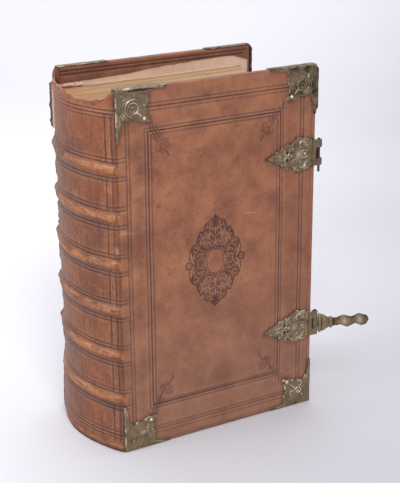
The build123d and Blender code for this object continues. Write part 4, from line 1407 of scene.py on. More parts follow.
def chased(flat, lines, beads):
    """Height of ridges along polylines (line, half width, height) and of beads (u, v, radius, height).

    Each one stands in a sunk margin, as chasing leaves it.
    """
    rise, margin = np.zeros(len(flat)), np.zeros(len(flat))
    for line, half, height in lines:
        away = near(flat, line)
        rise = np.maximum(rise, 1.3 * height * bump(away, half * 1.1))
        margin = np.maximum(margin, bump(away - 1.9 * half, 1.1 * half))
    for u, v, radius, height in beads:
        away = np.hypot(flat[:, 0] - u, flat[:, 1] - v)
        rise = np.maximum(rise, 1.2 * height * np.sqrt(np.clip(1 - (away / radius) ** 2, 0, 1)))
        margin = np.maximum(margin, bump(away - radius - 0.4, 0.8))
    return np.where(rise > 0.03, rise, -0.3 * margin)


def overlaid(rise, detail):
    """A rise with chased detail: ridges stand on it, and their margins sink into it."""
    chosen = np.where(detail > 0, np.maximum(rise, detail), rise + detail)
    return np.where(np.abs(detail) > 0.04, chosen, rise)


RING = (17.5, 17.5)  # middle of the ring boss, from the corner
NAIL_SEAT = (28.8, 28.0)


def corner_relief_head(flat):
    """Head cornerpieces: a ring boss in sunk rings, a small knob and an engraved border."""
    u, v = flat[:, 0], flat[:, 1]
    ring = np.hypot(u - RING[0], v - RING[1])
    rise = (0.6 + 0.02 * (u + v - sum(RING))) * bump(ring - 5.1, 1.0)
    rise -= 0.4 * (1 - ramp(ring, 3.0, 4.2)) + 0.25 * bump(ring - 6.9, 0.8)
    detail = chased(flat, [
        (arc(*RING, 8.2, 100, 285, 16), 0.75, 0.5),
        (arc(*RING, 10.8, 115, 255, 14), 0.7, 0.42),
        (arc(*RING, 13.2, 125, 235, 14), 0.6, 0.32),
        (arc(*RING, 8.6, -60, 30, 8), 0.6, 0.25),
        (arc(26.0, 10.5, 4.0, 80, 330, 10), 0.6, 0.25),
        (arc(10.5, 25.0, 3.6, 120, 350, 10), 0.6, 0.25),
        ([(7.0, 8.0), (9.0, 12.0)], 0.6, 0.3),
        (arc(16.8, 18.4, 2.4, 40, 300, 12), 0.8, 0.4),
        ([(21.6, 21.4), (25.6, 25.2)], 1.2, 0.6),
        (arc(27.5, 20.5, 5.5, 160, 250, 8), 0.8, 0.3),
        (arc(20.0, 27.5, 5.0, 200, 300, 8), 0.8, 0.3),
        ([(4.0, 26.0), (4.0, 46.0)], 0.8, 0.25),
        ([(30.0, 3.2), (50.0, 1.6)], 0.7, 0.2),
        ([(5.2, 5.0), (13.5, 8.0)], 0.8, 0.25),
    ], [
        (10.0, 9.4, 2.0, 0.9), (13.0, 6.2, 0.9, 0.35), (6.4, 13.0, 0.9, 0.35), (28.6, 15.5, 1.0, 0.5),
        (33.0, 31.0, 0.9, 0.4), (24.5, 30.0, 0.9, 0.35), (31.8, 22.6, 0.9, 0.35),
    ])
    return overlaid(rise, detail)


def corner_relief_tail(flat):
    """Tail cornerpieces: an engraved V, a raised drop and a row of pearls."""
    u, v = flat[:, 0], flat[:, 1]
    cut = np.minimum(near(flat, [(11.5, 29.0), (6.5, 19.0), (4.5, 8.0)]),
                     near(flat, [(8.0, 22.5), (19.5, 24.5)]))
    rise = -0.7 * bump(cut, 1.15)
    drop = np.hypot((u - 19.6) * 0.9 + (v - 17) * 0.25, (v - 17.0) * 1.6 - (u - 19.6) * 0.35)
    dome = 0.42 * np.sqrt(np.clip(1 - (drop / 4.8) ** 2, 0, 1))
    rise = np.maximum(rise - 0.3 * bump(drop - 6.4, 1.5), dome)
    detail = chased(flat, [
        (arc(13.0, 12.0, 4.5, 100, 330, 12, 2.5), 0.8, 0.3),
        (arc(22.0, 8.0, 3.4, 0, 200, 10), 0.8, 0.3),
        ([(24.5, 21.0), (27.0, 26.0)], 0.9, 0.35),
        ([(4.0, 32.0), (3.6, 46.0)], 0.8, 0.25),
        ([(34.0, 3.4), (50.0, 1.6)], 0.7, 0.2),
    ], [
        (24.4, 20.4, 1.0, 0.55), (24.6, 17.2, 0.9, 0.5), (24.6, 13.8, 0.9, 0.5), (27.4, 11.0, 0.9, 0.4),
        (23.6, 29.0, 1.1, 0.5), (33.6, 24.4, 1.0, 0.5), (30.6, 30.4, 0.9, 0.45), (29.5, 17.5, 0.9, 0.4),
        (18.5, 28.6, 1.0, 0.5), (13.0, 27.6, 1.0, 0.45), (31.6, 8.5, 0.9, 0.45),
    ])
    return overlaid(rise, detail)


def corner_relief_scroll(flat):
    """The fore-edge tail cornerpiece: pearled scallops and a pair of scrolls."""
    return chased(flat, [
        (arc(15.0, 15.5, 4.2, 20, 330, 16, 2.0), 0.9, 0.72),
        (arc(22.5, 14.0, 3.0, 170, -80, 12), 0.8, 0.66),
        (arc(14.0, 23.5, 3.0, 280, 60, 12), 0.8, 0.6),
        ([(19.0, 19.0), (25.0, 24.5)], 1.0, 0.62),
        ([(4.2, 20.0), (4.0, 46.0)], 0.8, 0.25),
        ([(26.0, 4.0), (50.0, 1.8)], 0.7, 0.22),
    ], [
        (33.0, 31.0, 1.2, 0.7), (32.8, 26.4, 1.1, 0.65), (31.4, 21.8, 1.2, 0.7), (31.8, 17.0, 1.1, 0.6),
        (32.6, 12.2, 1.1, 0.6), (27.0, 31.0, 1.1, 0.6), (22.4, 29.4, 1.2, 0.65), (17.4, 28.8, 1.1, 0.6),
        (12.6, 27.0, 1.0, 0.5), (15.4, 15.6, 1.3, 0.7),
    ])


# Inner border of a cornerpiece, from the edges of the board: head or tail strap, lobes, side strap
CORNER_FACE = [
    (49.0, 1.1), (44.0, 1.6), (38.0, 2.5), (34.0, 4.2), (33.0, 8.0), *arc(29.8, 12.4, 4.4, -30, 50, 7),
    (31.2, 17.6), (32.2, 20.6), (32.6, 24.0), (31.8, 26.6), (34.4, 29.4), (35.2, 32.4), (32.4, 32.2),
    (28.6, 31.4), (26.4, 32.2), (23.4, 30.8), (20.0, 29.0), *arc(14.2, 25.0, 4.6, 50, 150, 7),
    (7.4, 28.2), (5.0, 32.4), (3.9, 37.4), (3.1, 42.0),
]

# How dark the painted shade in the slit under the head or tail strap of each cornerpiece is
SLIT_SHADE = {
    ("head", "spine"): 0.75, ("head", "fore"): 0.1, ("tail", "spine"): 0.35, ("tail", "fore"): 0.35,
}


FLAP_OVER = 0.4  # how far the flaps reach past the inner face of the leather


def build_cornerpiece(side, row, column, material):
    """A bent sheet of brass over a corner of a board: ornamented face, straps, and flaps over the edges."""
    face, inward = SIDES[side]
    edge_x, way_x = (cover_low[0], 1.0) if column == "spine" else (fore_x, -1.0)
    edge_z, way_z = (tail_z, 1.0) if row == "tail" else (head_z, -1.0)
    seed = 300 + 7 * list(SIDES).index(side) + (2 if row == "tail" else 0) + (column == "fore")
    bend = EDGE_RADIUS
    flap = cover_depth + FLAP_OVER - bend + bend * math.pi / 2 - bend
    side_flap = column == "fore"

    def rough(points, size, amount):
        solid = at(*points.T, seed)
        shift = [noise(solid, size, seed), noise(solid + 40, size, seed + 1)]
        return points + amount * np.stack(shift, axis=-1)

    outline = [(2.6, side_strap_length), (-flap if side_flap else 0.0, side_strap_length)]
    outline += [(-flap, 1.0), (0.2, 0.2)] if side_flap else []
    outline += [(0.3 if side_flap else 0.0, -flap), (strap_length, -flap), (strap_length, 0.5)]
    outline += CORNER_FACE
    fine = []
    for a, b in zip(outline, outline[1:] + outline[:1]):
        a, b = np.array(a, float), np.array(b, float)
        pieces = max(1, int(np.linalg.norm(b - a) / 2.2))
        fine += [a + (b - a) * k / pieces for k in range(pieces)]
    fine = np.array(fine)
    on_face = (fine[:, 0] > 1) & (fine[:, 1] > 1)
    shaken = rough(fine, 4.0, 0.45)
    free_flap = (fine[:, 1] <= -flap + 0.1) | (fine[:, 0] <= -flap + 0.1)
    shaken = np.where((on_face | free_flap)[:, None], shaken, fine)

    pattern = corner_relief_head
    if row == "tail":
        pattern = corner_relief_scroll if column == "fore" else corner_relief_tail

    def relief(flat, edge):
        solid = at(*flat.T, seed)
        nail = np.hypot(*(flat - NAIL_SEAT).T)
        rise = pattern(flat) - 0.6 * fade(nail, 2.1, 3.4, 0.7)
        on_top = (flat[:, 0] > 0.5) & (flat[:, 1] > 0.5)
        # Fine chasing all over the field
        veins = 1 - ramp(np.abs(noise(solid, 5.2, seed + 13, 2)), 0.04, 0.26)
        rise = rise + np.where(np.abs(rise) < 0.12, 0.36 * veins - 0.14, 0.0) * ramp(edge, 0.6, 2.4)
        border = 0.22 * bump(edge - 1.5, 0.9)
        rise = np.where(on_top, np.maximum(rise, border), 0.12 * noise(solid, 3.0, seed + 3))
        dents = 0.12 * noise(solid, 9, seed + 5, 3)
        if column == "fore" and row == "head":
            dents = dents + 1.7 * fade(flat[:, 1], 4, 42, 3) * (1 - ramp(flat[:, 0], 0.0, 2.2))
        crown = 0.12 * ramp(edge, 0.0, 1.4)
        lift = 0.9 + rise + dents + crown - 0.28 * (1 - ramp(edge, 0.0, 0.7))
        high = 0.4 + 0.85 * rise + 0.16 * noise(solid, 6, seed + 8, 3)
        worn_edge = (1 - ramp(edge, 0.1, 0.9)) * (0.12 + 0.7 * noise(solid, 3.4, seed + 9, 2))
        bend_rub = 0.3 * bump(np.minimum(np.abs(flat[:, 0] - 0.4), np.abs(flat[:, 1] + 0.2)), 1.2)
        bend_rub = bend_rub * np.clip(0.5 + 1.2 * noise(solid, 6.0, seed + 11, 2), 0, 1)
        # A dark line along the bend under the strap: painted shade in the slit
        slit_shade = bump(flat[:, 1] - 1.5, 1.0) * ramp(noise(solid * (1, 0, 0), 9.0, seed + 12, 2), -0.15, 0.1)
        slit_shade = slit_shade * (flat[:, 0] > 6) * SLIT_SHADE[row, column]
        high = high - slit_shade
        if column == "fore" and row == "head":
            high = high - 0.12 - 0.3 * bump(flat[:, 0] - 4.2, 1.5) - 0.22 * (1 - ramp(flat[:, 0], 1.5, 3.2))
            high = np.maximum(high, 0.17 + 0.1 * noise(solid, 3.0, seed + 15, 2))
        return np.clip(lift, 0.35, 3.4), {"high": np.clip(high + worn_edge + bend_rub, 0, 1)}

    def bent(t):
        """Along one direction: place from the edge, depth, and turn from flat to upright."""
        quarter = bend * math.pi / 2
        turn = np.clip((bend - t) / quarter, 0, 1) * math.pi / 2
        past = np.clip(bend - quarter - t, 0, None)
        place = np.where(t >= bend, t, bend - bend * np.sin(turn))
        depth = bend - bend * np.cos(turn) + past
        return place, depth, turn

    def fold(u, v, lift):
        v_edge, v_depth, turn_v = bent(v)
        u_edge, u_depth, turn_u = bent(u) if side_flap else (u, 0 * u, 0 * u)
        depth = v_depth + u_depth
        out = at(-np.sin(turn_u), -np.sin(turn_v) * np.cos(turn_u), np.cos(turn_u) * np.cos(turn_v))
        x = edge_x + way_x * (u_edge + out[:, 0] * lift)
        z = edge_z + way_z * (v_edge + out[:, 1] * lift)
        y = face + inward * (depth - out[:, 2] * lift)
        return at(x, y, z)

    surface = Surface("high")
    spacing = 0.62 if side == "front" else 0.9
    plate_mesh(surface, shaken, spacing, relief, fold, base=0.02)
    name = side + "_" + row + "_" + column + "_corner"
    piece = surface.build(name + "_brass", material, smooth=50)
    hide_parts(name)
    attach(piece, side + "_cover")


# ---------------------------------------------------------------- clasps
def swept(surface, centres, across, out, half_across, half_out, power=3.0, around=28, **masks):
    """A closed bar along its centres, with a rounded rectangular section that changes along it."""
    a = np.linspace(0, 2 * np.pi, around, endpoint=False)[:, None]
    c, s = np.cos(a), np.sin(a)
    u = np.sign(c) * np.abs(c) ** (2 / power) * half_across
    w = np.sign(s) * np.abs(s) ** (2 / power) * half_out
    grid = np.asarray(centres)[None] + u[..., None] * np.asarray(across) + w[..., None] * np.asarray(out)
    number = surface.add(grid, **masks)
    surface.quads(number, closed=True)
    surface.polygon(number[:, 0])
    surface.polygon(number[::-1, -1])
    return number


KNUCKLE_RADIUS, BORE_RADIUS = 3.0, 1.25


def barrel(surface, low, high):
    """A knuckle: a tube with rounded ends, standing round the pin."""
    span = np.array([0.0, 0.12, 0.5, 1.0])
    rounding = np.array([0.35, 0.15, 0.03, 0.0])
    z = np.concatenate([low + span, high - span[::-1]])
    r = KNUCKLE_RADIUS - np.concatenate([rounding, rounding[::-1]])
    angle = np.linspace(0, 2 * np.pi, 32, endpoint=False)
    a, k = np.meshgrid(angle, np.arange(len(z)), indexing="ij")

    def wall(radius):
        return at(pin_x + radius * np.cos(a), pin_y + radius * np.sin(a), z[k])

    outer = surface.add(wall(r[k]), high=0.45)
    bore = surface.add(wall(BORE_RADIUS)[:, [0, -1]], high=0.0)
    surface.quads(outer, closed=True)
    surface.quads(bore, closed=True)
    for end in (0, -1):
        surface.quads(np.stack([outer[:, end], bore[:, end]], axis=1), closed=True)


def clasp_outline():
    """The leaf-shaped plate, from the fore-edge inwards: distance from the fore-edge and half height."""
    lobe = np.radians(np.linspace(55, 135, 9))
    upper = [
        (0.0, 13.2), (6.4, 13.8), (8.0, 16.0),
        *[(18.0 - 9.6 * math.cos(t), 8.2 + 9.3 * math.sin(t)) for t in lobe],
        (27.6, 12.6), (29.2, 10.6), (31.6, 12.9), (33.8, 12.6), (34.4, 10.2), (36.4, 8.6), (38.4, 9.8),
        (40.2, 9.4), (41.0, 7.6), (43.4, 6.2), (45.4, 6.6), (46.4, 5.2), (48.6, 4.0), (50.4, 4.2),
        (51.6, 2.6), (54.0, 1.9), (57.5, 0.0),
    ]
    return np.array(upper + [(u, -v) for u, v in reversed(upper[:-1])])


def clasp_relief(flat, edge, seed):
    """Lobes, C-scrolls, sunk eyes and a moulded strip beside the knuckle."""
    u, v = flat[:, 0], flat[:, 1]
    fold = np.stack([u, np.abs(v)], axis=-1)
    rise = chased(fold, [
        (arc(16.0, 9.6, 4.4, 200, -60, 16, 2.6), 0.9, 0.55),
        (arc(12.6, 12.4, 2.4, 120, -60, 8), 0.7, 0.35),
        (arc(25.0, 9.4, 3.6, 230, 20, 10), 0.8, 0.35),
        (arc(33.5, 3.8, 2.9, 150, 400, 12), 0.9, 0.5),
        ([(36.5, 3.0), (44.0, 2.0), (52.0, 0.6)], 0.8, 0.3),
        ([(20.5, 3.0), (26.0, 4.6), (30.0, 7.6)], 0.9, 0.4),
        ([(9.6, 2.6), (13.0, 4.0), (16.4, 3.2)], 0.8, 0.45),
        (arc(19.0, 3.0, 3.8, 120, -100, 9), 0.8, 0.3),
        ([(9.0, 5.6), (9.4, 9.8)], 0.8, 0.25),
    ], [
        (30.6, 5.2, 1.0, 0.7), (26.4, 6.8, 0.9, 0.6), (12.2, 0.0, 1.5, 0.7), (33.0, 12.0, 1.2, 0.5),
        (39.4, 8.8, 1.1, 0.5), (45.6, 5.8, 1.0, 0.5), (50.4, 3.5, 0.9, 0.45), (28.0, 0.0, 1.1, 0.4),
    ])
    dome = 0.3 * np.exp(-(((u - 19.0) / 5.5) ** 2 + (v / 5.0) ** 2))
    rise = np.maximum(rise, dome)
    rise = np.maximum(rise, 0.14 * bump(edge - 1.3, 0.9))
    eye = np.hypot((u - 31.0) / 4.6, (np.abs(v) - 3.6) / 2.1)
    small = np.hypot((u - 11.2) / 2.2, (np.abs(v) - 5.4) / 2.4)
    rise = rise - 0.42 * (1 - ramp(np.minimum(eye, small), 0.4, 1.2)) * (rise < 0.3)
    moulding = fade(u, -1, 6.4, 0.5)
    solid = at(u, v, seed)
    veins = 1 - ramp(np.abs(noise(solid, 4.6, seed + 5, 2)), 0.04, 0.3)
    rise = rise + np.where(np.abs(rise) < 0.1, 0.3 * veins - 0.16, 0.0) * ramp(edge, 0.6, 2.0)
    rise = rise * (1 - moulding) + moulding * (0.5 * bump(u - 1.4, 1.2) + 0.35 * bump(u - 5.2, 0.9))
    return rise + 0.1 * noise(solid, 8, seed, 3), solid


LUGS = ((-13.9, -6.8), (4.2, 11.8))  # heights of a plate's two lugs, from the middle of the clasp
SLOT = (-6.9, 4.3)  # the slot between them
ARM_KNUCKLE = (-6.6, 4.0)  # the arm's own knuckle


def build_clasp_plate(name, material):
    """A hinge plate with its knuckle; the upper one has lost its arm."""
    z_middle = clasp_z[name]
    seed = 400 if name == "upper" else 420

    def relief(flat, edge):
        rise, solid = clasp_relief(flat, edge, seed)
        lift = 0.95 + rise - 0.3 * (1 - ramp(edge, 0.0, 0.7))
        high = 0.52 + 0.44 * np.maximum(rise, 0) + 0.75 * np.minimum(rise, 0)
        high = high + 0.15 * noise(solid, 5, seed + 3, 3)
        worn = (1 - ramp(edge, 0.1, 0.9)) * (0.7 * noise(solid, 3.0, seed + 4, 2) - 0.12)
        return np.clip(lift, 0.3, 2.2), {"high": np.clip(high + worn, 0, 1)}

    def fold(u, v, lift):
        return at(fore_x - u, front_y - lift, z_middle + v)

    surface = Surface("high")
    plate_mesh(surface, clasp_outline(), 0.6, relief, fold, base=0.02)
    # The web that carries the knuckle, then the two lugs with the arm's slot between them
    for low, high in LUGS:
        middle, half = (low + high) / 2, (high - low) / 2
        path = np.linspace(fore_x - 3.6, pin_x - 0.4, 9)
        centres = at(path, front_y - 1.1, z_middle + middle)
        ribs = np.array([0.85, 1.15, 1.3, 1.1, 0.9, 1.2, 1.25, 1.3, 1.3])
        swept(surface, centres, (0, 0, 1), (0, 1, 0), half, ribs[None], 6.0, 36, high=0.45)
        barrel(surface, z_middle + low, z_middle + high)
    slot = z_middle + np.linspace(*SLOT, 5)
    if name == "upper":
        # Stump of the lost arm, deep in its slot, near-black as painted shade in the slot
        centres = at(fore_x + 1.7, front_y + 0.2, slot)
        swept(surface, centres, (1, 0, 0), (0, 1, 0), 1.9, 0.9, 5.0, 24, high=0.02)
    centres = at(fore_x - 1.6, front_y - 1.05, slot)
    swept(surface, centres, (1, 0, 0), (0, 1, 0), 2.1, 1.05, 5.0, 24, high=0.4)
    piece = surface.build(name + "_clasp_plate_brass", material, smooth=45)
    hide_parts(name + "_clasp_plate")
    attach(piece, "front_cover")


ARM_DROP = 2.2  # the worn knuckle lets the arm hang this much below its middle
ARM_SWING = math.radians(20.0)  # how far the arm has swung in from the line of the cover
ARM_WAVE = 16.4  # length of one wave of the bar
# Upper and lower edge of the broken bar: distance along the arm, height from its middle
BAR_TOP = (
    (23.5, 4.2), (27, 5.4), (31.4, 6.7), (35.4, 5.4), (39.4, 4.0), (43.6, 5.4), (47.8, 7.1), (51.6, 5.8),
    (55.0, 4.9), (57.0, 4.4), (58.0, 2.7),
)
BAR_BOTTOM = (
    (23.5, -4.2), (28.4, -3.9), (31.6, -5.6), (35.0, -7.0), (39.3, -5.2), (43.6, -3.6), (47.0, -5.1),
    (50.6, -6.6), (54.0, -5.6), (57.0, -4.2), (58.0, -2.5),
)
# Collar, tapered moulding, ring and neck: distance along the arm, half height, half thickness
ARM_SECTIONS = (
    (3.9, 9.4, 1.9), (4.2, 9.9, 2.2), (4.6, 10.3, 2.35), (5.6, 10.6, 2.4), (6.4, 10.3, 2.2),
    (6.9, 9.0, 1.6), (7.5, 8.9, 1.6), (8.2, 9.3, 2.1), (9.4, 8.9, 2.3), (11.0, 7.8, 2.3),
    (13.0, 6.3, 2.1), (14.6, 5.5, 1.8), (15.3, 5.2, 1.6), (15.9, 5.6, 1.9), (16.8, 6.2, 2.3),
    (17.8, 6.2, 2.3), (18.5, 5.6, 1.9), (19.1, 4.8, 1.5), (20.0, 4.5, 1.5), (21.4, 4.3, 1.6),
    (23.0, 4.4, 1.7), (24.6, 4.3, 1.6),
)


def build_clasp_arm(material):
    """The arm that is left: knuckle, moulded collar and ring, then a wavy bar broken off square."""
    along = np.array((math.cos(ARM_SWING), -math.sin(ARM_SWING), 0.0))
    out = np.array((-math.sin(ARM_SWING), -math.cos(ARM_SWING), 0.0))
    up = np.array((0.0, 0.0, 1.0))
    knuckle = np.array((pin_x, pin_y, clasp_z["lower"]))
    origin = knuckle - ARM_DROP * up
    surface = Surface("high")
    t, half, deep = np.array(ARM_SECTIONS).T
    centres = origin + t[:, None] * along
    shine = np.interp(deep, (1.5, 2.4), (0.16, 0.62))
    swept(surface, centres, up, out, half, deep, 4.5, 48, high=shine)
    # The wavy bar: two waves, the lower edge lagging behind the upper
    t = np.linspace(23.6, 58.0, 70)
    kernel = np.hanning(9) / np.hanning(9).sum()
    top, bottom = [np.convolve(np.pad(np.interp(t, *zip(*edge)), 4, mode="edge"), kernel, "valid")
                   for edge in (BAR_TOP, BAR_BOTTOM)]
    end = np.sqrt(np.clip((58.2 - t) / 2.4, 0.2, 1))
    twist = 0.35 * np.sin(t * 2 * math.pi / ARM_WAVE)
    centres = origin + t[:, None] * along + ((top + bottom) / 2)[:, None] * up + twist[:, None] * out
    solid = at(t, top, 0.0)
    # The flat of the bar carries a painted highlight, brightest on its crests; its edges are painted shade
    flat = np.abs(np.sin(np.linspace(0, 2 * np.pi, 40, endpoint=False)))[:, None] ** 2
    crest_highlight = 0.65 + 0.35 * np.sin((t - 27.5) * 2 * math.pi / ARM_WAVE)
    half, deep = (top - bottom) / 2 * end, 1.75 * end * (1 + 0.05 * noise(solid, 6, 431))
    swept(surface, centres, up, out, half, deep, 3.4, 40, high=0.06 + 0.68 * flat * crest_highlight)
    # Knuckle and tongue in the slot of the plate
    low, high = ARM_KNUCKLE
    barrel(surface, knuckle[2] + low, knuckle[2] + high)
    t = np.linspace(2.2, 4.8, 4)
    centres = knuckle + t[:, None] * along + (low + high) / 2 * up
    swept(surface, centres, up, out, (high - low) / 2 - 0.1, 1.7, 6.0, 24, high=0.4)
    piece = surface.build("clasp_arm_brass", material, smooth=45)
    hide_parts("lower_clasp_arm")
    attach(piece, "clasp_arm")


# ---------------------------------------------------------------- CAD nodes that stay
def dress(names, material):
    """Gives CAD nodes whose shape is right a better finish."""
    for name in names:
        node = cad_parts[name]
        node.data.materials.clear()
        node.data.materials.append(material)
        node.data.shade_smooth()
        node.data.set_sharp_from_angle(angle=math.radians(35))


# ---------------------------------------------------------------- stage
def build_stage():
    """A pale sweep of paper, soft lights all round and the camera."""
    look = settings("studio")
    s = Shader("studio_paper", Roughness=0.75, Specular_IOR_Level=0.2)
    across = s.node("ShaderNodeVectorMath", {"operation": "DOT_PRODUCT"}, {
        0: s.places, 1: (math.cos(look.yaw) - 0.4 * math.sin(look.yaw),
                         -math.sin(look.yaw) - 0.4 * math.cos(look.yaw), -0.3)}).outputs["Value"]
    cloud = s.noise(500, 2.0, 0.5)
    across = s.math("ADD", across, s.band(cloud, 0.2, 0.8, -0.05, 0.05))
    # Painted shade: the paper darkens from the floor colour to the shade colour towards the camera's right,
    # the near side and lower down
    tone = s.blend(s.band(across, -0.72, 0.84), tuple(look.floor), tuple(look.shade))
    material = s.finish(Base_Color=tone)
    reach, rise, bend = 2.6, 3.4, 1.1
    profile = [(-9.0, 0.0), (reach - bend, 0.0)]
    turns = np.radians(range(6, 91, 6))
    profile += [(reach - bend + bend * math.sin(t), bend - bend * math.cos(t)) for t in turns]
    profile += [(reach, rise)]
    yaw = look.yaw
    away = np.array((math.sin(yaw), math.cos(yaw), 0.0))
    side = np.array((math.cos(yaw), -math.sin(yaw), 0.0))
    points = [tuple(away * distance + side * end + np.array((0, 0, height)))
              for distance, height in profile for end in (-9.0, 9.0)]
    faces = [(2 * k, 2 * k + 1, 2 * k + 3, 2 * k + 2) for k in range(len(profile) - 1)]
    mesh = bpy.data.meshes.new("studio_sweep")
    mesh.from_pydata(points, [], faces)
    mesh.shade_smooth()
    mesh.materials.append(material)
    sweep = bpy.data.objects.new("studio_sweep", mesh)
    bpy.context.scene.collection.objects.link(sweep)

    world = bpy.data.worlds.new("studio_air")
    world.use_nodes = True
    background = world.node_tree.nodes["Background"]
    background.inputs["Color"].default_value = (0.93, 0.94, 1.0, 1.0)
    background.inputs["Strength"].default_value = 0.62
    bpy.context.scene.world = world

    def lamp(name, place, aim, size, power, tint):
        data = bpy.data.lights.new(name, "AREA")
        data.shape, data.size, data.energy, data.color = "DISK", size, power, tint
        light = bpy.data.objects.new(name, data)
        light.location = place
        light.rotation_euler = (Vector(aim) - Vector(place)).to_track_quat("-Z", "Y").to_euler()
        bpy.context.scene.collection.objects.link(light)

    lamp("key_light", (-0.75, -1.8, 1.95), (0.0, 0.0, 0.2), 1.1, 38.0, (1.0, 0.98, 0.95))
    lamp("left_light", (-2.3, 0.2, 1.2), (-0.05, 0.0, 0.2), 1.3, 20.0, (0.86, 0.9, 1.0))
    lamp("top_light", (0.3, 0.6, 2.5), (0.0, 0.1, 0.2), 1.6, 20.0, (1.0, 1.0, 1.0))

    camera_data = bpy.data.cameras.new("camera")
    camera_data.sensor_fit = "VERTICAL"
    camera_data.sensor_height = 36.0
    camera_data.lens = look.lens
    camera = bpy.data.objects.new("camera", camera_data)
    up = np.array((0.0, 0.0, 1.0))
    forward = away * math.cos(look.pitch) - up * math.sin(look.pitch)
    above = up * math.cos(look.pitch) + away * math.sin(look.pitch)
    right = side * math.cos(look.roll) + above * math.sin(look.roll)
    top = above * math.cos(look.roll) - side * math.sin(look.roll)
    place = np.array((joint_x, front_y, 0.0)) * MM + np.array(look.place)
    rows = [[right[i], top[i], -forward[i], place[i]] for i in range(3)] + [[0, 0, 0, 1]]
    camera.matrix_world = Matrix(rows)
    bpy.context.scene.collection.objects.link(camera)
    bpy.context.scene.camera = camera
    bpy.context.scene.view_settings.view_transform = "Standard"


# ---------------------------------------------------------------- operators
class FOLIO_OT_materials(bpy.types.Operator):
    """Make the finishes that several pieces share"""

    bl_idname = "folio.materials"
    bl_label = "Finishes"

    def execute(self, context):
        leather_material("cover_leather")
        leather_material("spine_leather", spine=True)
        brass_material("old_brass")
        brass_material("rubbed_brass", lift=0.05)
        brass_material("plain_brass", relief=False)
        return {"FINISHED"}


class FOLIO_OT_covers(bpy.types.Operator):
    """Build the tooled leather of both boards"""

    bl_idname = "folio.covers"
    bl_label = "Cover leather"

    def execute(self, context):
        for side in SIDES:
            build_cover_leather(side)
        return {"FINISHED"}


class FOLIO_OT_spine(bpy.types.Operator):
    """Build the spine leather and the leather strips over the joints"""

    bl_idname = "folio.spine"
    bl_label = "Spine and joints"

    def execute(self, context):
        build_spine_leather()
        for side in SIDES:
            build_joint_leather(side)
        return {"FINISHED"}


class FOLIO_OT_leaves(bpy.types.Operator):
    """Build the sewn leaves"""

    bl_idname = "folio.leaves"
    bl_label = "Leaves"

    def execute(self, context):
        build_leaves()
        return {"FINISHED"}


class FOLIO_OT_pastedowns(bpy.types.Operator):
    """Build the sheets pasted inside the boards"""

    bl_idname = "folio.pastedowns"
    bl_label = "Pastedowns"

    def execute(self, context):
        material = sheet_material()
        for side in SIDES:
            build_pastedown(side, material)
        return {"FINISHED"}


class FOLIO_OT_endbands(bpy.types.Operator):
    """Build the wound endbands"""

    bl_idname = "folio.endbands"
    bl_label = "Endbands"

    def execute(self, context):
        build_endbands()
        return {"FINISHED"}


class FOLIO_OT_cornerpieces(bpy.types.Operator):
    """Build the eight brass cornerpieces"""

    bl_idname = "folio.cornerpieces"
    bl_label = "Cornerpieces"

    def execute(self, context):
        material = bpy.data.materials["old_brass"]
        for side in SIDES:
            for row in ("tail", "head"):
                for column in ("spine", "fore"):
                    build_cornerpiece(side, row, column, material)
        return {"FINISHED"}


class FOLIO_OT_clasps(bpy.types.Operator):
    """Build the clasp plates and the arm that is left"""

    bl_idname = "folio.clasps"
    bl_label = "Clasps"

    def execute(self, context):
        material = bpy.data.materials["rubbed_brass"]
        for name in clasp_z:
            build_clasp_plate(name, material)
        build_clasp_arm(material)
        return {"FINISHED"}


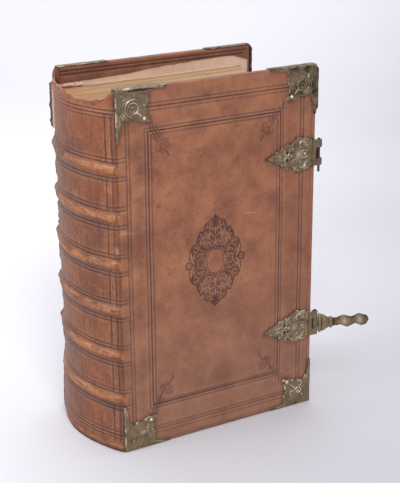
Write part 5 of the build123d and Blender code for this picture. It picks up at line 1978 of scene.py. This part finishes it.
class FOLIO_OT_fittings(bpy.types.Operator):
    """Finish the nails, pins, catch plates, boards, cords and lining"""

    bl_idname = "folio.fittings"
    bl_label = "Nails, boards and sewing"

    def execute(self, context):
        rubbed = nail_material("rubbed_nails", (0.5, 0.44, 0.28), (0.88, 0.83, 0.66))
        dress(["front_corner_nails", "back_corner_nails", "catch_plate_nails"], rubbed)
        dress(["clasp_plate_nails"], nail_material("dull_nails", (0.24, 0.19, 0.11), (0.46, 0.39, 0.25)))
        dress(["upper_clasp_pin", "lower_clasp_pin"], iron_material())
        dress(["upper_catch_plate", "lower_catch_plate"], bpy.data.materials["plain_brass"])
        dress(["front_board", "back_board"], wood_material())
        cord = thread_material("cord_hemp", (0.52, 0.4, 0.26), (0.32, 0.22, 0.13))
        dress([f"sewing_cord_{i}" for i in range(1, 7)], cord)
        linen = thread_material("lining_linen", (0.62, 0.54, 0.42), (0.42, 0.34, 0.24), size_mm=1.2)
        dress(["spine_lining"], linen)
        return {"FINISHED"}


class FOLIO_OT_stage(bpy.types.Operator):
    """Set up the floor, the lights and the camera"""

    bl_idname = "folio.stage"
    bl_label = "Stage"

    def execute(self, context):
        build_stage()
        return {"FINISHED"}


OPERATORS = (
    FOLIO_OT_stage, FOLIO_OT_materials, FOLIO_OT_covers, FOLIO_OT_spine, FOLIO_OT_leaves,
    FOLIO_OT_pastedowns, FOLIO_OT_endbands, FOLIO_OT_cornerpieces, FOLIO_OT_clasps, FOLIO_OT_fittings,
)
GROUPS = {
    "leather": LeatherSettings, "brass": BrassSettings, "paper": PaperSettings, "studio": StudioSettings,
}


class FOLIO_PT_panel(bpy.types.Panel):
    """Lists the book's pieces and settings"""

    bl_label = "Leather Folio"
    bl_idname = "FOLIO_PT_panel"
    bl_space_type = "VIEW_3D"
    bl_region_type = "UI"
    bl_category = "Folio"

    def draw(self, context):
        layout = self.layout
        for operator in OPERATORS:
            layout.operator(operator.bl_idname)
        for name, group in GROUPS.items():
            box = layout.box()
            box.label(text=name.capitalize())
            for prop in group.__annotations__:
                box.prop(settings(name), prop)


CLASSES = (*GROUPS.values(), *OPERATORS, FOLIO_PT_panel)


def register():
    for cls in CLASSES:
        bpy.utils.register_class(cls)
    for name, group in GROUPS.items():
        setattr(bpy.types.Scene, "folio_" + name, bpy.props.PointerProperty(type=group))


def unregister():
    for name in GROUPS:
        delattr(bpy.types.Scene, "folio_" + name)
    for cls in reversed(CLASSES):
        bpy.utils.unregister_class(cls)


def main():
    register()
    for operator in OPERATORS:
        group, name = operator.bl_idname.split(".")
        getattr(getattr(bpy.ops, group), name)()


if __name__ == "__main__":
    main()
